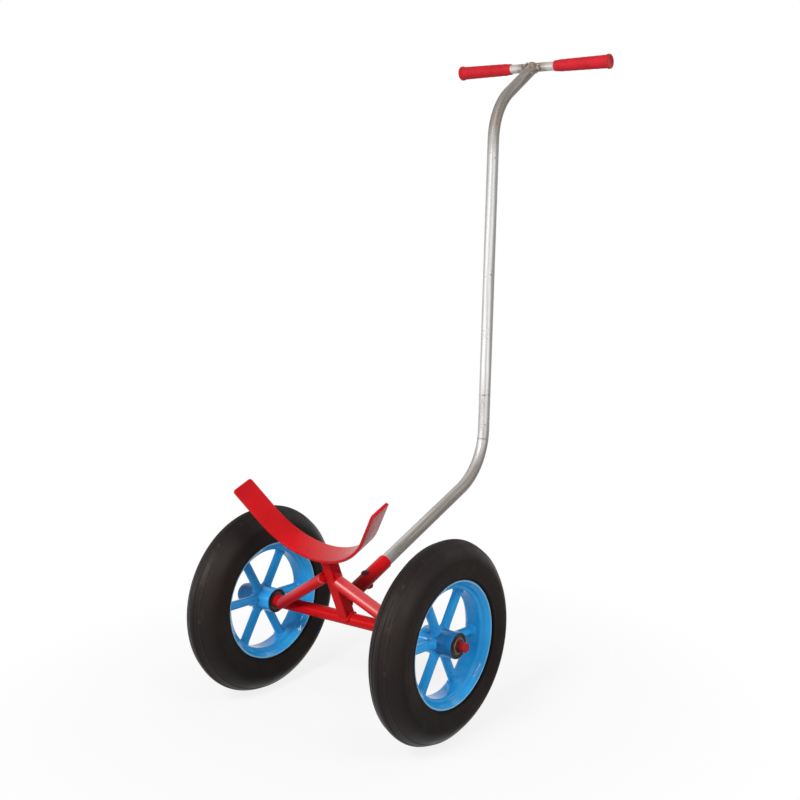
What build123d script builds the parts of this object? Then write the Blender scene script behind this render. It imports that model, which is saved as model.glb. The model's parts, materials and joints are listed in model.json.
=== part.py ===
"""A two-wheeled pipe dolly: saddle frame on a through axle, spoked wheels and a bolted T-handle.

Sizes are in millimetres. Each piece is first modelled with the axle on the X axis and the saddle level:
+X to the right, +Y to the handle, +Z up. The frame is then pitched forward about the axle, as the dolly
stands, and everything is moved so that the origin lies on the floor under the middle of the whole dolly.
"""
import math
import os

from build123d import *

# Stance
TRACK = 480.0
FRAME_PITCH = 20.2

# Gaps between pieces that touch on the real dolly, and between pieces that turn against each other
SEAT_GAP = 0.05
RUNNING_GAP = 0.1
SEAL_GAP = 0.35

# Tyre
TYRE_OD = 400.0
TYRE_WIDTH = 78.0
TYRE_WIDEST_DIA = 324.0
CROWN_POWER = 1.55
CROWN_POINTS = 12
GROOVE_OFFSET = 7.0
GROOVE_WIDTH = 2.4
GROOVE_DEPTH = 1.5
SHOULDER_RIB_OFFSET = 18.0
SHOULDER_RIB_RADIUS = 1.3
BEAD_OVERHANG = 1.5

# Rim, a pressed section with a well in the middle, two bead seats and rolled lips
RIM_WIDTH = 64.0
RIM_LIP_DIA = 251.0
RIM_LIP_RADIUS = 2.5
RIM_SHEET = 3.0
RIM_WELL_DIA = 212.0
RIM_WELL_WIDTH = 33.0
RIM_WELL_DEPTH = 6.0
RIM_WELL_SLOPE = 2.5
RIM_SEAT_WIDTH = 5.0
RIM_SEAT_RISE = 2.5
RIM_BEND_RADIUS = 1.5

# Spokes, round bars with a weld fillet at each end. The wheels are alike, so on both of them the spokes stand
# the same distance to the left of the rim's middle; each wheel has come to rest at its own angle.
SPOKE_COUNT = 6
SPOKE_DIA = 18.5
SPOKE_FILLET = 3.5
SPOKE_FOOT_GAP = 0.5
SPOKE_OFFSET = -5.5
LEFT_SPOKE_ANGLE = -3.5
RIGHT_SPOKE_ANGLE = -6.0

# Hub tube and its bearings
HUB_OD = 51.5
HUB_LENGTH = 80.0
HUB_SHOULDER = 2.0
HUB_EDGE = 0.8
BEARING_OD = 47.0
BEARING_WIDTH = 14.0
BALL_DIA = 7.9
BALL_COUNT = 8
RING_SHOULDER_SHARE = 0.31
CAGE_THICKNESS = 1.6
CAGE_WIDTH = 10.0
SEAL_THICKNESS = 1.0
SEAL_INSET = 0.6
RING_EDGE = 0.6

# Axle bar, axle tube and what holds the wheels on
AXLE_DIA = 20.0
AXLE_TIP = 15.1
AXLE_CHAMFER = 2.0
AXLE_TUBE_SLACK = 0.85
AXLE_TUBE_WALL = 2.6
SPACER_WALL = 3.0
WASHER_OD = 30.0
WASHER_THICKNESS = 2.5
PIN_DIA = 4.0
PIN_GAP = 0.4
PIN_STANDOUT = 1.2
PIN_EYE_RADIUS = 2.8
PIN_WIRE_DIA = 2.2
PIN_SPLAY = 35.0
PIN_TAIL = 6.0

# Dust cap on the left hub's outer end
CAP_WALL = 1.5
CAP_BASE_DIA = 51.0
CAP_MOUTH_DIA = 49.0
CAP_END_DIA = 41.0
CAP_CORNER = 5.0
CAP_AXLE_GAP = 1.5

# Legs, flat-oval tubes with closed ends, and the square post
LEG_DEPTH = 29.0
LEG_HEIGHT = 21.5
LEG_WALL = 2.5
LEG_END_PLATE = 3.0
LEG_SLOPE = 32.4
LEG_FORWARD = 12.0
LEG_TOP_X = 17.0
LEG_TOP_HEIGHT = 107.8
LEG_HUB_GAP = 28.0
POST_SIDE = 25.0
POST_WALL = 2.5
POST_CORNER = 3.0
POST_COPE = 5.0

# Saddle, a bent flat bar
SADDLE_RADIUS = 160.0
SADDLE_HALF_ANGLE = 54.6
SADDLE_FLARE = 83.0
SADDLE_WIDTH = 50.0
SADDLE_PLATE = 6.0
SADDLE_CORNER = 6.0
SADDLE_EDGE = 1.0
SEAT_HEIGHT = 164.0

# Handle socket and its bolt
SOCKET_HEIGHT = 41.0
SOCKET_LENGTH = 132.0
SOCKET_WALL = 2.2
SOCKET_SLACK = 0.2
BOLT_DIA = 10.0
BOLT_SLACK = 0.2
BOLT_FROM_MOUTH = 63.5
BOLT_TIP = 1.0
BOLT_CHAMFER = 0.8
BOLT_HEAD_DIA = 17.0
BOLT_HEAD_HEIGHT = 3.8
BOLT_HEAD_EDGE = 0.8
NUT_ACROSS_FLATS = 16.0
NUT_BEVEL = 0.7
NUT_HEIGHT = 5.0

# Handle: stem, cross bar and grips
STEM_OD = 26.9
STEM_WALL = 2.6
STEM_TIP_GAP = 0.8
STEM_LOWER_RUN = 531.0
STEM_UPRIGHT = 841.0
STEM_UPRIGHT_ANGLE = 65.6
STEM_TOP = 199.0
STEM_TOP_ANGLE = 12.4
STEM_BEND_RADIUS = 145.0
BAR_OD = 21.3
BAR_WALL = 2.6
BAR_LENGTH = 416.0
GRIP_LENGTH = 150.0
GRIP_OD = 31.0
GRIP_TAPER = 1.5
GRIP_CAP = 4.0
GRIP_FLANGE_OD = 34.0
GRIP_FLANGE_WIDTH = 7.0
GRIP_EDGE = 1.2
BAR_WELD = 3.5

# Places that follow from the sizes above
WHEEL_X = TRACK / 2
HUB_INNER_X = WHEEL_X - HUB_LENGTH / 2
HUB_OUTER_X = WHEEL_X + HUB_LENGTH / 2
AXLE_TUBE_ID = AXLE_DIA + 2 * AXLE_TUBE_SLACK
AXLE_TUBE_OD = AXLE_TUBE_ID + 2 * AXLE_TUBE_WALL
PITCH_RADIUS = (AXLE_DIA + BEARING_OD) / 4
INNER_RING_RADIUS = PITCH_RADIUS - RING_SHOULDER_SHARE * BALL_DIA
OUTER_RING_RADIUS = PITCH_RADIUS + RING_SHOULDER_SHARE * BALL_DIA
PIN_X = HUB_OUTER_X + WASHER_THICKNESS + PIN_GAP + PIN_DIA / 2
AXLE_RIGHT_X = PIN_X + AXLE_TIP
AXLE_LEFT_X = AXLE_RIGHT_X - CAP_WALL - CAP_AXLE_GAP
LEG_END_X = HUB_INNER_X - LEG_HUB_GAP
SOCKET_ID = STEM_OD + 2 * SOCKET_SLACK
SOCKET_OD = SOCKET_ID + 2 * SOCKET_WALL
SOCKET_BACK_Y = POST_SIDE / 2
SOCKET_MOUTH_Y = SOCKET_BACK_Y + SOCKET_LENGTH
BOLT_Y = SOCKET_MOUTH_Y - BOLT_FROM_MOUTH
BAR_Y = (
    STEM_LOWER_RUN
    + STEM_UPRIGHT * math.cos(math.radians(STEM_UPRIGHT_ANGLE))
    + STEM_TOP * math.cos(math.radians(STEM_TOP_ANGLE))
)
BAR_Z = (
    SOCKET_HEIGHT
    + STEM_UPRIGHT * math.sin(math.radians(STEM_UPRIGHT_ANGLE))
    + STEM_TOP * math.sin(math.radians(STEM_TOP_ANGLE))
)


def turned(profile):
    """A face drawn as (distance along the axle, radius), turned round the axle."""
    return revolve(Plane.XZ * profile, Axis.X)


def rod(radius, length):
    """A solid rod along X, centred on the origin."""
    return Rot(Y=90) * Cylinder(radius, length)


def tube(inner, outer, length):
    """A tube along X, centred on the origin."""
    return rod(outer, length) - rod(inner, length)


def hollow_square(side, wall, corner):
    """The section of a square tube."""
    return RectangleRounded(side, side, corner) - Rectangle(side - 2 * wall, side - 2 * wall)


def crown_point(angle):
    """A point of the tyre's crown, a rounded diamond: 0 degrees is the top, 90 the widest place."""
    power = 2 / CROWN_POWER
    across = math.sin(math.radians(angle))
    up = max(math.cos(math.radians(angle)), 0.0)
    half_width = TYRE_WIDTH / 2
    rise = (TYRE_OD - TYRE_WIDEST_DIA) / 2
    x = math.copysign(half_width * abs(across) ** power, across)
    return x, TYRE_WIDEST_DIA / 2 + rise * up**power


def crown_radius(x):
    """The tyre's outside radius at a distance x from its middle."""
    share = (abs(x) / (TYRE_WIDTH / 2)) ** CROWN_POWER
    rise = (TYRE_OD - TYRE_WIDEST_DIA) / 2
    return TYRE_WIDEST_DIA / 2 + rise * (1 - share) ** (1 / CROWN_POWER)


def rim_points(offset_out):
    """The rim section from lip to lip, moved outwards by an offset square to the axle and along it."""
    well_x = RIM_WELL_WIDTH / 2
    well_r = RIM_WELL_DIA / 2
    seat_x = well_x + RIM_WELL_SLOPE
    seat_r = well_r + RIM_WELL_DEPTH
    flange_x = seat_x + RIM_SEAT_WIDTH
    flange_r = seat_r + RIM_SEAT_RISE
    lip_x = RIM_WIDTH / 2 - RIM_LIP_RADIUS
    lip_r = RIM_LIP_DIA / 2 - RIM_LIP_RADIUS
    half = [(well_x, well_r), (seat_x, seat_r), (flange_x, flange_r), (lip_x, lip_r)]
    right = [(x - offset_out / 2, r + offset_out) for x, r in half]
    left = [(-x, r) for x, r in reversed(right)]
    return left + right


def rim_section():
    """The pressed sheet with its two rolled lips, softly bent on the side that shows."""
    inside = rim_points(0.0)
    outside = rim_points(RIM_SHEET)
    shown = FilletPolyline(*inside, radius=RIM_BEND_RADIUS)
    hidden = Polyline(inside[-1], *reversed(outside), inside[0])
    section = make_face([shown, hidden])
    lip_x = RIM_WIDTH / 2 - RIM_LIP_RADIUS
    lip_r = RIM_LIP_DIA / 2 - RIM_LIP_RADIUS
    for side in (-1, 1):
        section += Pos(side * lip_x, lip_r) * Circle(RIM_LIP_RADIUS)
    return section


def tyre_section():
    """Crown and sidewalls, with tread grooves and shoulder ribs, cut to sit on the rim."""
    step = 180 / CROWN_POINTS
    points = [crown_point(-90 + step * i) for i in range(CROWN_POINTS + 1)]
    crown = Spline(*points, tangents=[(0, 1), (0, -1)])
    bead_x = RIM_WIDTH / 2 + BEAD_OVERHANG
    bead_r = RIM_LIP_DIA / 2 + SEAT_GAP
    widest = (TYRE_WIDTH / 2, TYRE_WIDEST_DIA / 2)
    right_wall = TangentArc(widest, (bead_x, bead_r), tangent=(0, -1))
    left_wall = mirror(right_wall, about=Plane.YZ)
    base_r = RIM_WELL_DIA / 2
    base = Polyline((bead_x, bead_r), (bead_x, base_r), (-bead_x, base_r), (-bead_x, bead_r))
    section = make_face([crown, right_wall, base, left_wall])

    for side in (-1, 1):
        groove_x = side * GROOVE_OFFSET
        groove_floor = crown_radius(GROOVE_OFFSET) - GROOVE_DEPTH
        section -= Pos(groove_x, groove_floor + TYRE_OD / 4) * Rectangle(GROOVE_WIDTH, TYRE_OD / 2)
        rib = Pos(side * SHOULDER_RIB_OFFSET, crown_radius(SHOULDER_RIB_OFFSET)) * Circle(SHOULDER_RIB_RADIUS)
        section += rib

    seat = rim_points(RIM_SHEET + SEAT_GAP)
    outer_x = bead_x + BEAD_OVERHANG
    lip_top = RIM_LIP_DIA / 2 + SEAT_GAP
    channel = [(-outer_x, lip_top), *seat, (outer_x, lip_top), (outer_x, 0), (-outer_x, 0)]
    section -= Polygon(*channel, align=None)
    for side in (-1, 1):
        lip_x = side * (RIM_WIDTH / 2 - RIM_LIP_RADIUS)
        lip_r = RIM_LIP_DIA / 2 - RIM_LIP_RADIUS
        section -= Pos(lip_x, lip_r) * Circle(RIM_LIP_RADIUS + SEAT_GAP)
    return section


def spoke():
    """One spoke, pointing along +Y: a round bar that swells to a weld fillet at the hub and at the rim."""
    hub_r = HUB_OD / 2
    rim_r = RIM_WELL_DIA / 2
    bar_r = SPOKE_DIA / 2
    foot_r = bar_r + SPOKE_FILLET
    room_on_hub = hub_r * math.sin(math.pi / SPOKE_COUNT) - SPOKE_FOOT_GAP
    hub_foot_r = min(foot_r, room_on_hub)
    inner_end = math.sqrt(hub_r**2 - hub_foot_r**2) - SPOKE_FILLET
    profile = Polyline(
        (0, inner_end),
        (hub_foot_r, inner_end),
        (hub_foot_r, hub_r),
        (bar_r, hub_r + SPOKE_FILLET),
        (bar_r, rim_r - SPOKE_FILLET),
        (foot_r, rim_r),
        (0, rim_r),
        (0, inner_end),
    )
    bar = revolve(make_face(profile), Axis.Y)
    reach = rod(rim_r - SEAT_GAP, HUB_LENGTH)
    return (bar & reach) - rod(hub_r + SEAT_GAP, HUB_LENGTH)


def spokes(start_angle):
    """All the spokes of a wheel, as separate bars."""
    first = Pos(SPOKE_OFFSET) * spoke()
    return [Rot(X=start_angle + 360 / SPOKE_COUNT * i) * first for i in range(SPOKE_COUNT)]


def hub():
    """The hub tube, with a seat for a bearing in each end."""
    body = tube(BEARING_OD / 2 + SEAT_GAP - HUB_SHOULDER, HUB_OD / 2, HUB_LENGTH)
    body = chamfer(body.edges().filter_by(GeomType.CIRCLE).sort_by(SortBy.RADIUS)[-2:], HUB_EDGE)
    for side in (-1, 1):
        seat = rod(BEARING_OD / 2 + SEAT_GAP, BEARING_WIDTH)
        body -= Pos(side * (HUB_LENGTH - BEARING_WIDTH) / 2) * seat
    return body


def bearing_ring(inner, outer, edges):
    """A bearing ring with a ball groove and softened corners on one side."""
    groove = Pos(0, PITCH_RADIUS) * Circle(BALL_DIA / 2 + RUNNING_GAP)
    section = Pos(0, (inner + outer) / 2) * Rectangle(BEARING_WIDTH, outer - inner)
    corners = section.vertices().group_by(Axis.Y)[edges]
    return turned(chamfer(corners, RING_EDGE) - groove)


def bearing_inner_ring():
    return bearing_ring(AXLE_DIA / 2 + SEAT_GAP, INNER_RING_RADIUS, 0)


def bearing_outer_ring():
    return bearing_ring(OUTER_RING_RADIUS, BEARING_OD / 2, -1)


def bearing_balls():
    ball = Pos(0, PITCH_RADIUS, 0) * Sphere(BALL_DIA / 2)
    return [Rot(X=360 / BALL_COUNT * i) * ball for i in range(BALL_COUNT)]


def bearing_cage():
    """A band between the rings, with a pocket for each ball."""
    half = CAGE_THICKNESS / 2
    band = tube(PITCH_RADIUS - half, PITCH_RADIUS + half, CAGE_WIDTH)
    pocket = Pos(0, PITCH_RADIUS, 0) * Sphere(BALL_DIA / 2 + RUNNING_GAP)
    for i in range(BALL_COUNT):
        band -= Rot(X=360 / BALL_COUNT * i) * pocket
    return band


def bearing_seals():
    """The two rubber discs that close the gap between the rings."""
    disc = tube(INNER_RING_RADIUS + SEAL_GAP, OUTER_RING_RADIUS - SEAT_GAP, SEAL_THICKNESS)
    place = BEARING_WIDTH / 2 - SEAL_INSET - SEAL_THICKNESS / 2
    return [Pos(side * place) * disc for side in (-1, 1)]


def axle_bar():
    """The round bar through the axle tube and both wheels, drilled for the split pins."""
    bar = rod(AXLE_DIA / 2, AXLE_LEFT_X + AXLE_RIGHT_X)
    bar = chamfer(bar.edges().filter_by(GeomType.CIRCLE), AXLE_CHAMFER)
    bar = Pos((AXLE_RIGHT_X - AXLE_LEFT_X) / 2) * bar
    for side in (-1, 1):
        bar -= Pos(side * PIN_X) * Cylinder(PIN_DIA / 2 + SEAT_GAP, 2 * AXLE_DIA)
    return bar


def split_pin():
    """A split pin, upright through the axle: eye on top, two tails bent apart below."""
    top = AXLE_DIA / 2 + PIN_STANDOUT
    shank = Pos(Z=-PIN_STANDOUT / 2) * Cylinder(PIN_DIA / 2, AXLE_DIA + PIN_STANDOUT)
    eye = Pos(Z=top + PIN_EYE_RADIUS) * Rot(Y=90) * Torus(PIN_EYE_RADIUS, PIN_WIRE_DIA / 2)
    neck = Pos(Z=top - PIN_STANDOUT / 2) * Cylinder(PIN_DIA / 2, PIN_STANDOUT)
    pin = shank + eye + neck
    for side in (-1, 1):
        tail = Pos(Z=-PIN_TAIL / 2) * Cylinder(PIN_WIRE_DIA / 2, PIN_TAIL)
        pin += Pos(Z=-top + PIN_WIRE_DIA / 2) * Rot(X=side * PIN_SPLAY) * tail
    return pin


def hub_cap():
    """A domed cap over the axle's end, its base against the hub; X = 0 is the hub's end face."""
    depth = AXLE_LEFT_X + CAP_AXLE_GAP - HUB_OUTER_X
    mouth_r = CAP_MOUTH_DIA / 2
    end_r = CAP_END_DIA / 2
    inside = [(0, mouth_r - CAP_WALL), (depth, end_r - CAP_WALL), (depth, 0)]
    outside = [(depth + CAP_WALL, 0), (depth + CAP_WALL, end_r), (CAP_WALL, mouth_r)]
    base = [(CAP_WALL, CAP_BASE_DIA / 2), (0, CAP_BASE_DIA / 2)]
    section = make_face(Polyline(*inside, *outside, *base, inside[0]))

    def at(point):
        return section.vertices().sort_by_distance(point)[0]

    section = fillet(at(inside[1]), CAP_CORNER - CAP_WALL)
    return turned(fillet(at(outside[1]), CAP_CORNER))


def right_leg():
    """A flat-oval tube from the axle tube up to the post, its ends closed, coped round tube and post."""
    slope = math.radians(LEG_SLOPE)
    down = Vector(math.cos(slope), 0, -math.sin(slope))
    top = Vector(LEG_TOP_X, -LEG_FORWARD, LEG_TOP_HEIGHT)
    run = (LEG_END_X - LEG_TOP_X) / math.cos(slope) + LEG_HEIGHT

    def oval_bar(inset, plate):
        outline = SlotOverall(LEG_DEPTH - 2 * inset, LEG_HEIGHT - 2 * inset)
        start = Plane(origin=top + down * plate, x_dir=(0, 1, 0), z_dir=down)
        beyond = Pos(LEG_END_X - plate + run / 2) * Box(run, 2 * run, 2 * run)
        return extrude(start * outline, run, dir=down) - beyond

    leg = oval_bar(0, 0) - oval_bar(LEG_WALL, LEG_END_PLATE)
    leg -= Box(POST_SIDE + 2 * SEAT_GAP, POST_SIDE + 2 * SEAT_GAP, 2 * SEAT_HEIGHT)
    return leg - rod(AXLE_TUBE_OD / 2 + SEAT_GAP, TRACK)


def saddle_arc_centre():
    return SEAT_HEIGHT + SADDLE_RADIUS


def saddle_post():
    """The square post, standing on the axle tube and cut to the saddle's underside."""
    foot = AXLE_TUBE_OD / 2 - POST_COPE
    section = Pos(Z=foot) * hollow_square(POST_SIDE, POST_WALL, POST_CORNER)
    post = extrude(section, SEAT_HEIGHT - foot)
    under = SADDLE_RADIUS + SADDLE_PLATE + SEAT_GAP
    post -= Pos(Z=saddle_arc_centre()) * Rot(X=90) * Cylinder(under, 2 * POST_SIDE)
    return post - rod(AXLE_TUBE_OD / 2 + SEAT_GAP, TRACK)


def saddle_plate():
    """A flat bar bent to an arc, with straight flared ends and rounded corners."""
    half = math.radians(SADDLE_HALF_ANGLE)
    centre = saddle_arc_centre()
    bend = (SADDLE_RADIUS * math.sin(half), centre - SADDLE_RADIUS * math.cos(half))
    tip = (bend[0] + SADDLE_FLARE * math.cos(half), bend[1] + SADDLE_FLARE * math.sin(half))
    skin = [
        Line((-tip[0], tip[1]), (-bend[0], bend[1])),
        ThreePointArc((-bend[0], bend[1]), (0, SEAT_HEIGHT), bend),
        Line(bend, tip),
    ]
    outward = Vector(math.sin(half), -math.cos(half))
    under_bend = (bend[0] + SADDLE_PLATE * outward.X, bend[1] + SADDLE_PLATE * outward.Y)
    under_tip = (tip[0] + SADDLE_PLATE * outward.X, tip[1] + SADDLE_PLATE * outward.Y)
    underside = [
        Line(tip, under_tip),
        Line(under_tip, under_bend),
        ThreePointArc(under_bend, (0, SEAT_HEIGHT - SADDLE_PLATE), (-under_bend[0], under_bend[1])),
        Line((-under_bend[0], under_bend[1]), (-under_tip[0], under_tip[1])),
        Line((-under_tip[0], under_tip[1]), (-tip[0], tip[1])),
    ]
    section = Plane.XZ * make_face(skin + underside)
    plate = extrude(section, SADDLE_WIDTH / 2, both=True)

    def is_corner(edge):
        return abs(abs(edge.center().X) - (tip[0] + under_tip[0]) / 2) < SADDLE_PLATE / 2

    corners = [edge for edge in plate.edges().filter_by(Axis.Y, reverse=True) if is_corner(edge)]
    plate = fillet(corners, SADDLE_CORNER)
    long_edges = [edge for edge in plate.edges() if edge.length > SADDLE_FLARE / 2]
    sides = [edge for edge in long_edges if abs(edge.center().Y) > SADDLE_WIDTH / 4]
    return chamfer(sides, SADDLE_EDGE)


def handle_socket():
    """The sleeve behind the post that takes the stem, drilled for the bolt."""
    sleeve = Rot(Z=90) * tube(SOCKET_ID / 2, SOCKET_OD / 2, SOCKET_LENGTH)
    sleeve = Pos(0, SOCKET_BACK_Y + SOCKET_LENGTH / 2, SOCKET_HEIGHT) * sleeve
    return sleeve - bolt_hole()


def bolt_hole():
    return Pos(0, BOLT_Y, SOCKET_HEIGHT) * Cylinder(BOLT_DIA / 2 + BOLT_SLACK, 2 * SOCKET_OD)


def hexagon(height):
    """A hexagonal block from Z = 0 up, with its corners turned off on top."""
    block = extrude(RegularPolygon(NUT_ACROSS_FLATS / 2, 6, major_radius=False), height)
    corner = NUT_ACROSS_FLATS / math.sqrt(3)
    turned_off = corner - NUT_ACROSS_FLATS / 2
    blank = Cylinder(corner, 2 * height)
    blank = chamfer(blank.edges().filter_by(GeomType.CIRCLE), NUT_BEVEL, turned_off)
    return block & blank


def mushroom_head():
    """A low domed bolt head from Z = 0 up."""
    reach = BOLT_HEAD_DIA / 2
    rise = BOLT_HEAD_HEIGHT - BOLT_HEAD_EDGE
    dome_radius = (reach**2 + rise**2) / (2 * rise)
    dome = Pos(Z=BOLT_HEAD_HEIGHT - dome_radius) * Sphere(dome_radius)
    return dome & Cylinder(reach, BOLT_HEAD_HEIGHT, align=(Align.CENTER, Align.CENTER, Align.MIN))


def socket_bolt():
    """The bolt through socket and stem, head on top."""
    length = SOCKET_OD + NUT_HEIGHT + BOLT_TIP
    shank = Pos(Z=-length / 2) * Cylinder(BOLT_DIA / 2, length)
    shank = chamfer(shank.edges().filter_by(GeomType.CIRCLE).sort_by(Axis.Z)[0], BOLT_CHAMFER)
    bolt = shank + mushroom_head()
    return Pos(0, BOLT_Y, SOCKET_HEIGHT + SOCKET_OD / 2 + SEAT_GAP) * bolt


def socket_nut():
    nut = hexagon(NUT_HEIGHT) - Cylinder(BOLT_DIA / 2 + SEAT_GAP, 4 * NUT_HEIGHT)
    return Pos(0, BOLT_Y, SOCKET_HEIGHT - SOCKET_OD / 2 - SEAT_GAP) * Rot(X=180) * nut


def stem_start():
    return Vector(0, SOCKET_BACK_Y + STEM_TIP_GAP, SOCKET_HEIGHT)


def stem_path():
    """The stem's centre line: out of the socket, up, and back to the cross bar."""
    lower_corner = Vector(0, STEM_LOWER_RUN, SOCKET_HEIGHT)
    upright = math.radians(STEM_UPRIGHT_ANGLE)
    upper_corner = lower_corner + Vector(0, math.cos(upright), math.sin(upright)) * STEM_UPRIGHT
    corners = [stem_start(), lower_corner, upper_corner, (0, BAR_Y, BAR_Z)]
    return FilletPolyline(*corners, radius=STEM_BEND_RADIUS)


def bar_place():
    return Pos(0, BAR_Y, BAR_Z)


def handle_stem():
    """The bent pipe, drilled for the bolt and coped round the cross bar."""
    section = Circle(STEM_OD / 2) - Circle(STEM_OD / 2 - STEM_WALL)
    pipe = sweep(Plane(origin=stem_start(), z_dir=(0, 1, 0)) * section, path=stem_path())
    return pipe - bolt_hole() - bar_place() * rod(BAR_OD / 2 + SEAT_GAP, 4 * STEM_OD)


def handle_bar():
    return bar_place() * tube(BAR_OD / 2 - BAR_WALL, BAR_OD / 2, BAR_LENGTH)


def handle_weld():
    """The bead round the joint: where the swollen stem and the swollen cross bar meet, less the pipes."""
    stem_end = Rot(X=STEM_TOP_ANGLE) * Rot(X=90) * Cylinder(STEM_OD / 2 + BAR_WELD, 2 * STEM_OD)
    stem_core = Rot(X=STEM_TOP_ANGLE) * Rot(X=90) * Cylinder(STEM_OD / 2 + SEAT_GAP, 4 * STEM_OD)
    swollen_bar = rod(BAR_OD / 2 + BAR_WELD, 4 * STEM_OD)
    front = Rot(X=STEM_TOP_ANGLE) * Pos(Y=-STEM_OD) * Box(8 * STEM_OD, 2 * STEM_OD, 4 * STEM_OD)
    bead = (stem_end & swollen_bar & front) - stem_core - rod(BAR_OD / 2 + SEAT_GAP, 4 * STEM_OD)
    return bar_place() * bead


def grip(side):
    """A rubber grip pushed on the cross bar's end: hollow, closed and flanged at the outer end."""
    end = BAR_LENGTH / 2 + GRIP_CAP
    start = end - GRIP_LENGTH
    hole_r = BAR_OD / 2 + SEAT_GAP
    grip_r = GRIP_OD / 2
    flange_r = GRIP_FLANGE_OD / 2
    flange_x = end - GRIP_FLANGE_WIDTH
    outline = Polyline(
        (start, hole_r),
        (start, grip_r - GRIP_TAPER),
        (flange_x, grip_r),
        (flange_x, flange_r),
        (end, flange_r),
        (end, 0),
        (end - GRIP_CAP + SEAT_GAP, 0),
        (end - GRIP_CAP + SEAT_GAP, hole_r),
        (start, hole_r),
    )
    section = make_face(outline)
    outside = [v for v in section.vertices() if v.Y > hole_r + SEAT_GAP and abs(v.Y - grip_r) > SEAT_GAP]
    sleeve = turned(fillet(outside, GRIP_EDGE))
    if side < 0:
        sleeve = mirror(sleeve, about=Plane.YZ)
    return bar_place() * sleeve


def build_nodes():
    """Every piece by name, in its place on the standing dolly."""
    leg = right_leg()
    pitched = {
        "axle_tube": tube(AXLE_TUBE_ID / 2, AXLE_TUBE_OD / 2, 2 * HUB_INNER_X),
        "axle_bar": axle_bar(),
        "right_leg": leg,
        "left_leg": mirror(leg, about=Plane.YZ),
        "saddle_post": saddle_post(),
        "saddle_plate": saddle_plate(),
        "handle_socket": handle_socket(),
        "socket_bolt": socket_bolt(),
        "socket_nut": socket_nut(),
        "handle_stem": handle_stem(),
        "handle_bar": handle_bar(),
        "handle_weld": handle_weld(),
        "right_grip": grip(1),
        "left_grip": grip(-1),
    }
    upright = {}
    washer = tube(AXLE_DIA / 2 + SEAT_GAP, WASHER_OD / 2, WASHER_THICKNESS)
    spacer_length = HUB_LENGTH - 2 * BEARING_WIDTH
    spacer = tube(AXLE_DIA / 2 + SEAT_GAP, AXLE_DIA / 2 + SEAT_GAP + SPACER_WALL, spacer_length)
    wheel_pieces = {
        "tyre": turned(tyre_section()),
        "rim": turned(rim_section()),
        "hub": hub(),
    }
    bearing_pieces = {
        "outer_ring": bearing_outer_ring(),
        "inner_ring": bearing_inner_ring(),
        "balls": bearing_balls(),
        "cage": bearing_cage(),
        "seals": bearing_seals(),
    }
    upright["left_hub_cap"] = Pos(-HUB_OUTER_X) * mirror(hub_cap(), about=Plane.YZ)
    bearing_shift = (HUB_LENGTH - BEARING_WIDTH) / 2
    for side_name, side, angle in (("left", -1, LEFT_SPOKE_ANGLE), ("right", 1, RIGHT_SPOKE_ANGLE)):
        upright[f"{side_name}_spokes"] = placed(Pos(side * WHEEL_X), spokes(angle))
        pitched[f"{side_name}_washer"] = Pos(side * (HUB_OUTER_X + WASHER_THICKNESS / 2)) * washer
        pitched[f"{side_name}_split_pin"] = Pos(side * PIN_X) * split_pin()
        pitched[f"{side_name}_bearing_spacer"] = Pos(side * WHEEL_X) * spacer
        for piece, shape in wheel_pieces.items():
            upright[f"{side_name}_{piece}"] = placed(Pos(side * WHEEL_X), shape)
        for end_name, end in (("inner", -1), ("outer", 1)):
            place = Pos(side * (WHEEL_X + end * bearing_shift))
            for piece, shape in bearing_pieces.items():
                upright[f"{side_name}_{end_name}_bearing_{piece}"] = placed(place, shape)

    bar_back = BAR_Y * math.cos(math.radians(FRAME_PITCH)) - BAR_Z * math.sin(math.radians(FRAME_PITCH))
    reach_back = bar_back + GRIP_FLANGE_OD / 2
    reach_front = -TYRE_OD / 2
    stand = Pos(0, -(reach_back + reach_front) / 2, TYRE_OD / 2)
    nodes = {name: placed(stand * Rot(X=FRAME_PITCH), shape) for name, shape in pitched.items()}
    nodes.update({name: placed(stand, shape) for name, shape in upright.items()})
    return nodes


def placed(place, shape):
    """A solid moved to its place, or a group of separate solids moved together."""
    if isinstance(shape, list):
        return [place * solid for solid in shape]
    return place * shape


def write_nodes(nodes):
    os.makedirs("parts", exist_ok=True)
    for name, shape in nodes.items():
        group = Compound(children=shape) if isinstance(shape, list) else shape
        export_step(group, f"parts/{name}.step")
        print(name, round(group.volume), "mm3")


write_nodes(build_nodes())
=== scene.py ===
# %% [markdown]
# # A pipe dolly, dressed for the studio
# The dolly carries one end of a long pipe: a bent red saddle stands on a through axle between two spoked
# blue wheels, and a bolted galvanised handle steers it. The engineering model gives every place and every
# joint. This lesson loads it as a fixed frame and puts the visible skins, welds and finishes on it, piece
# by piece.

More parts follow.
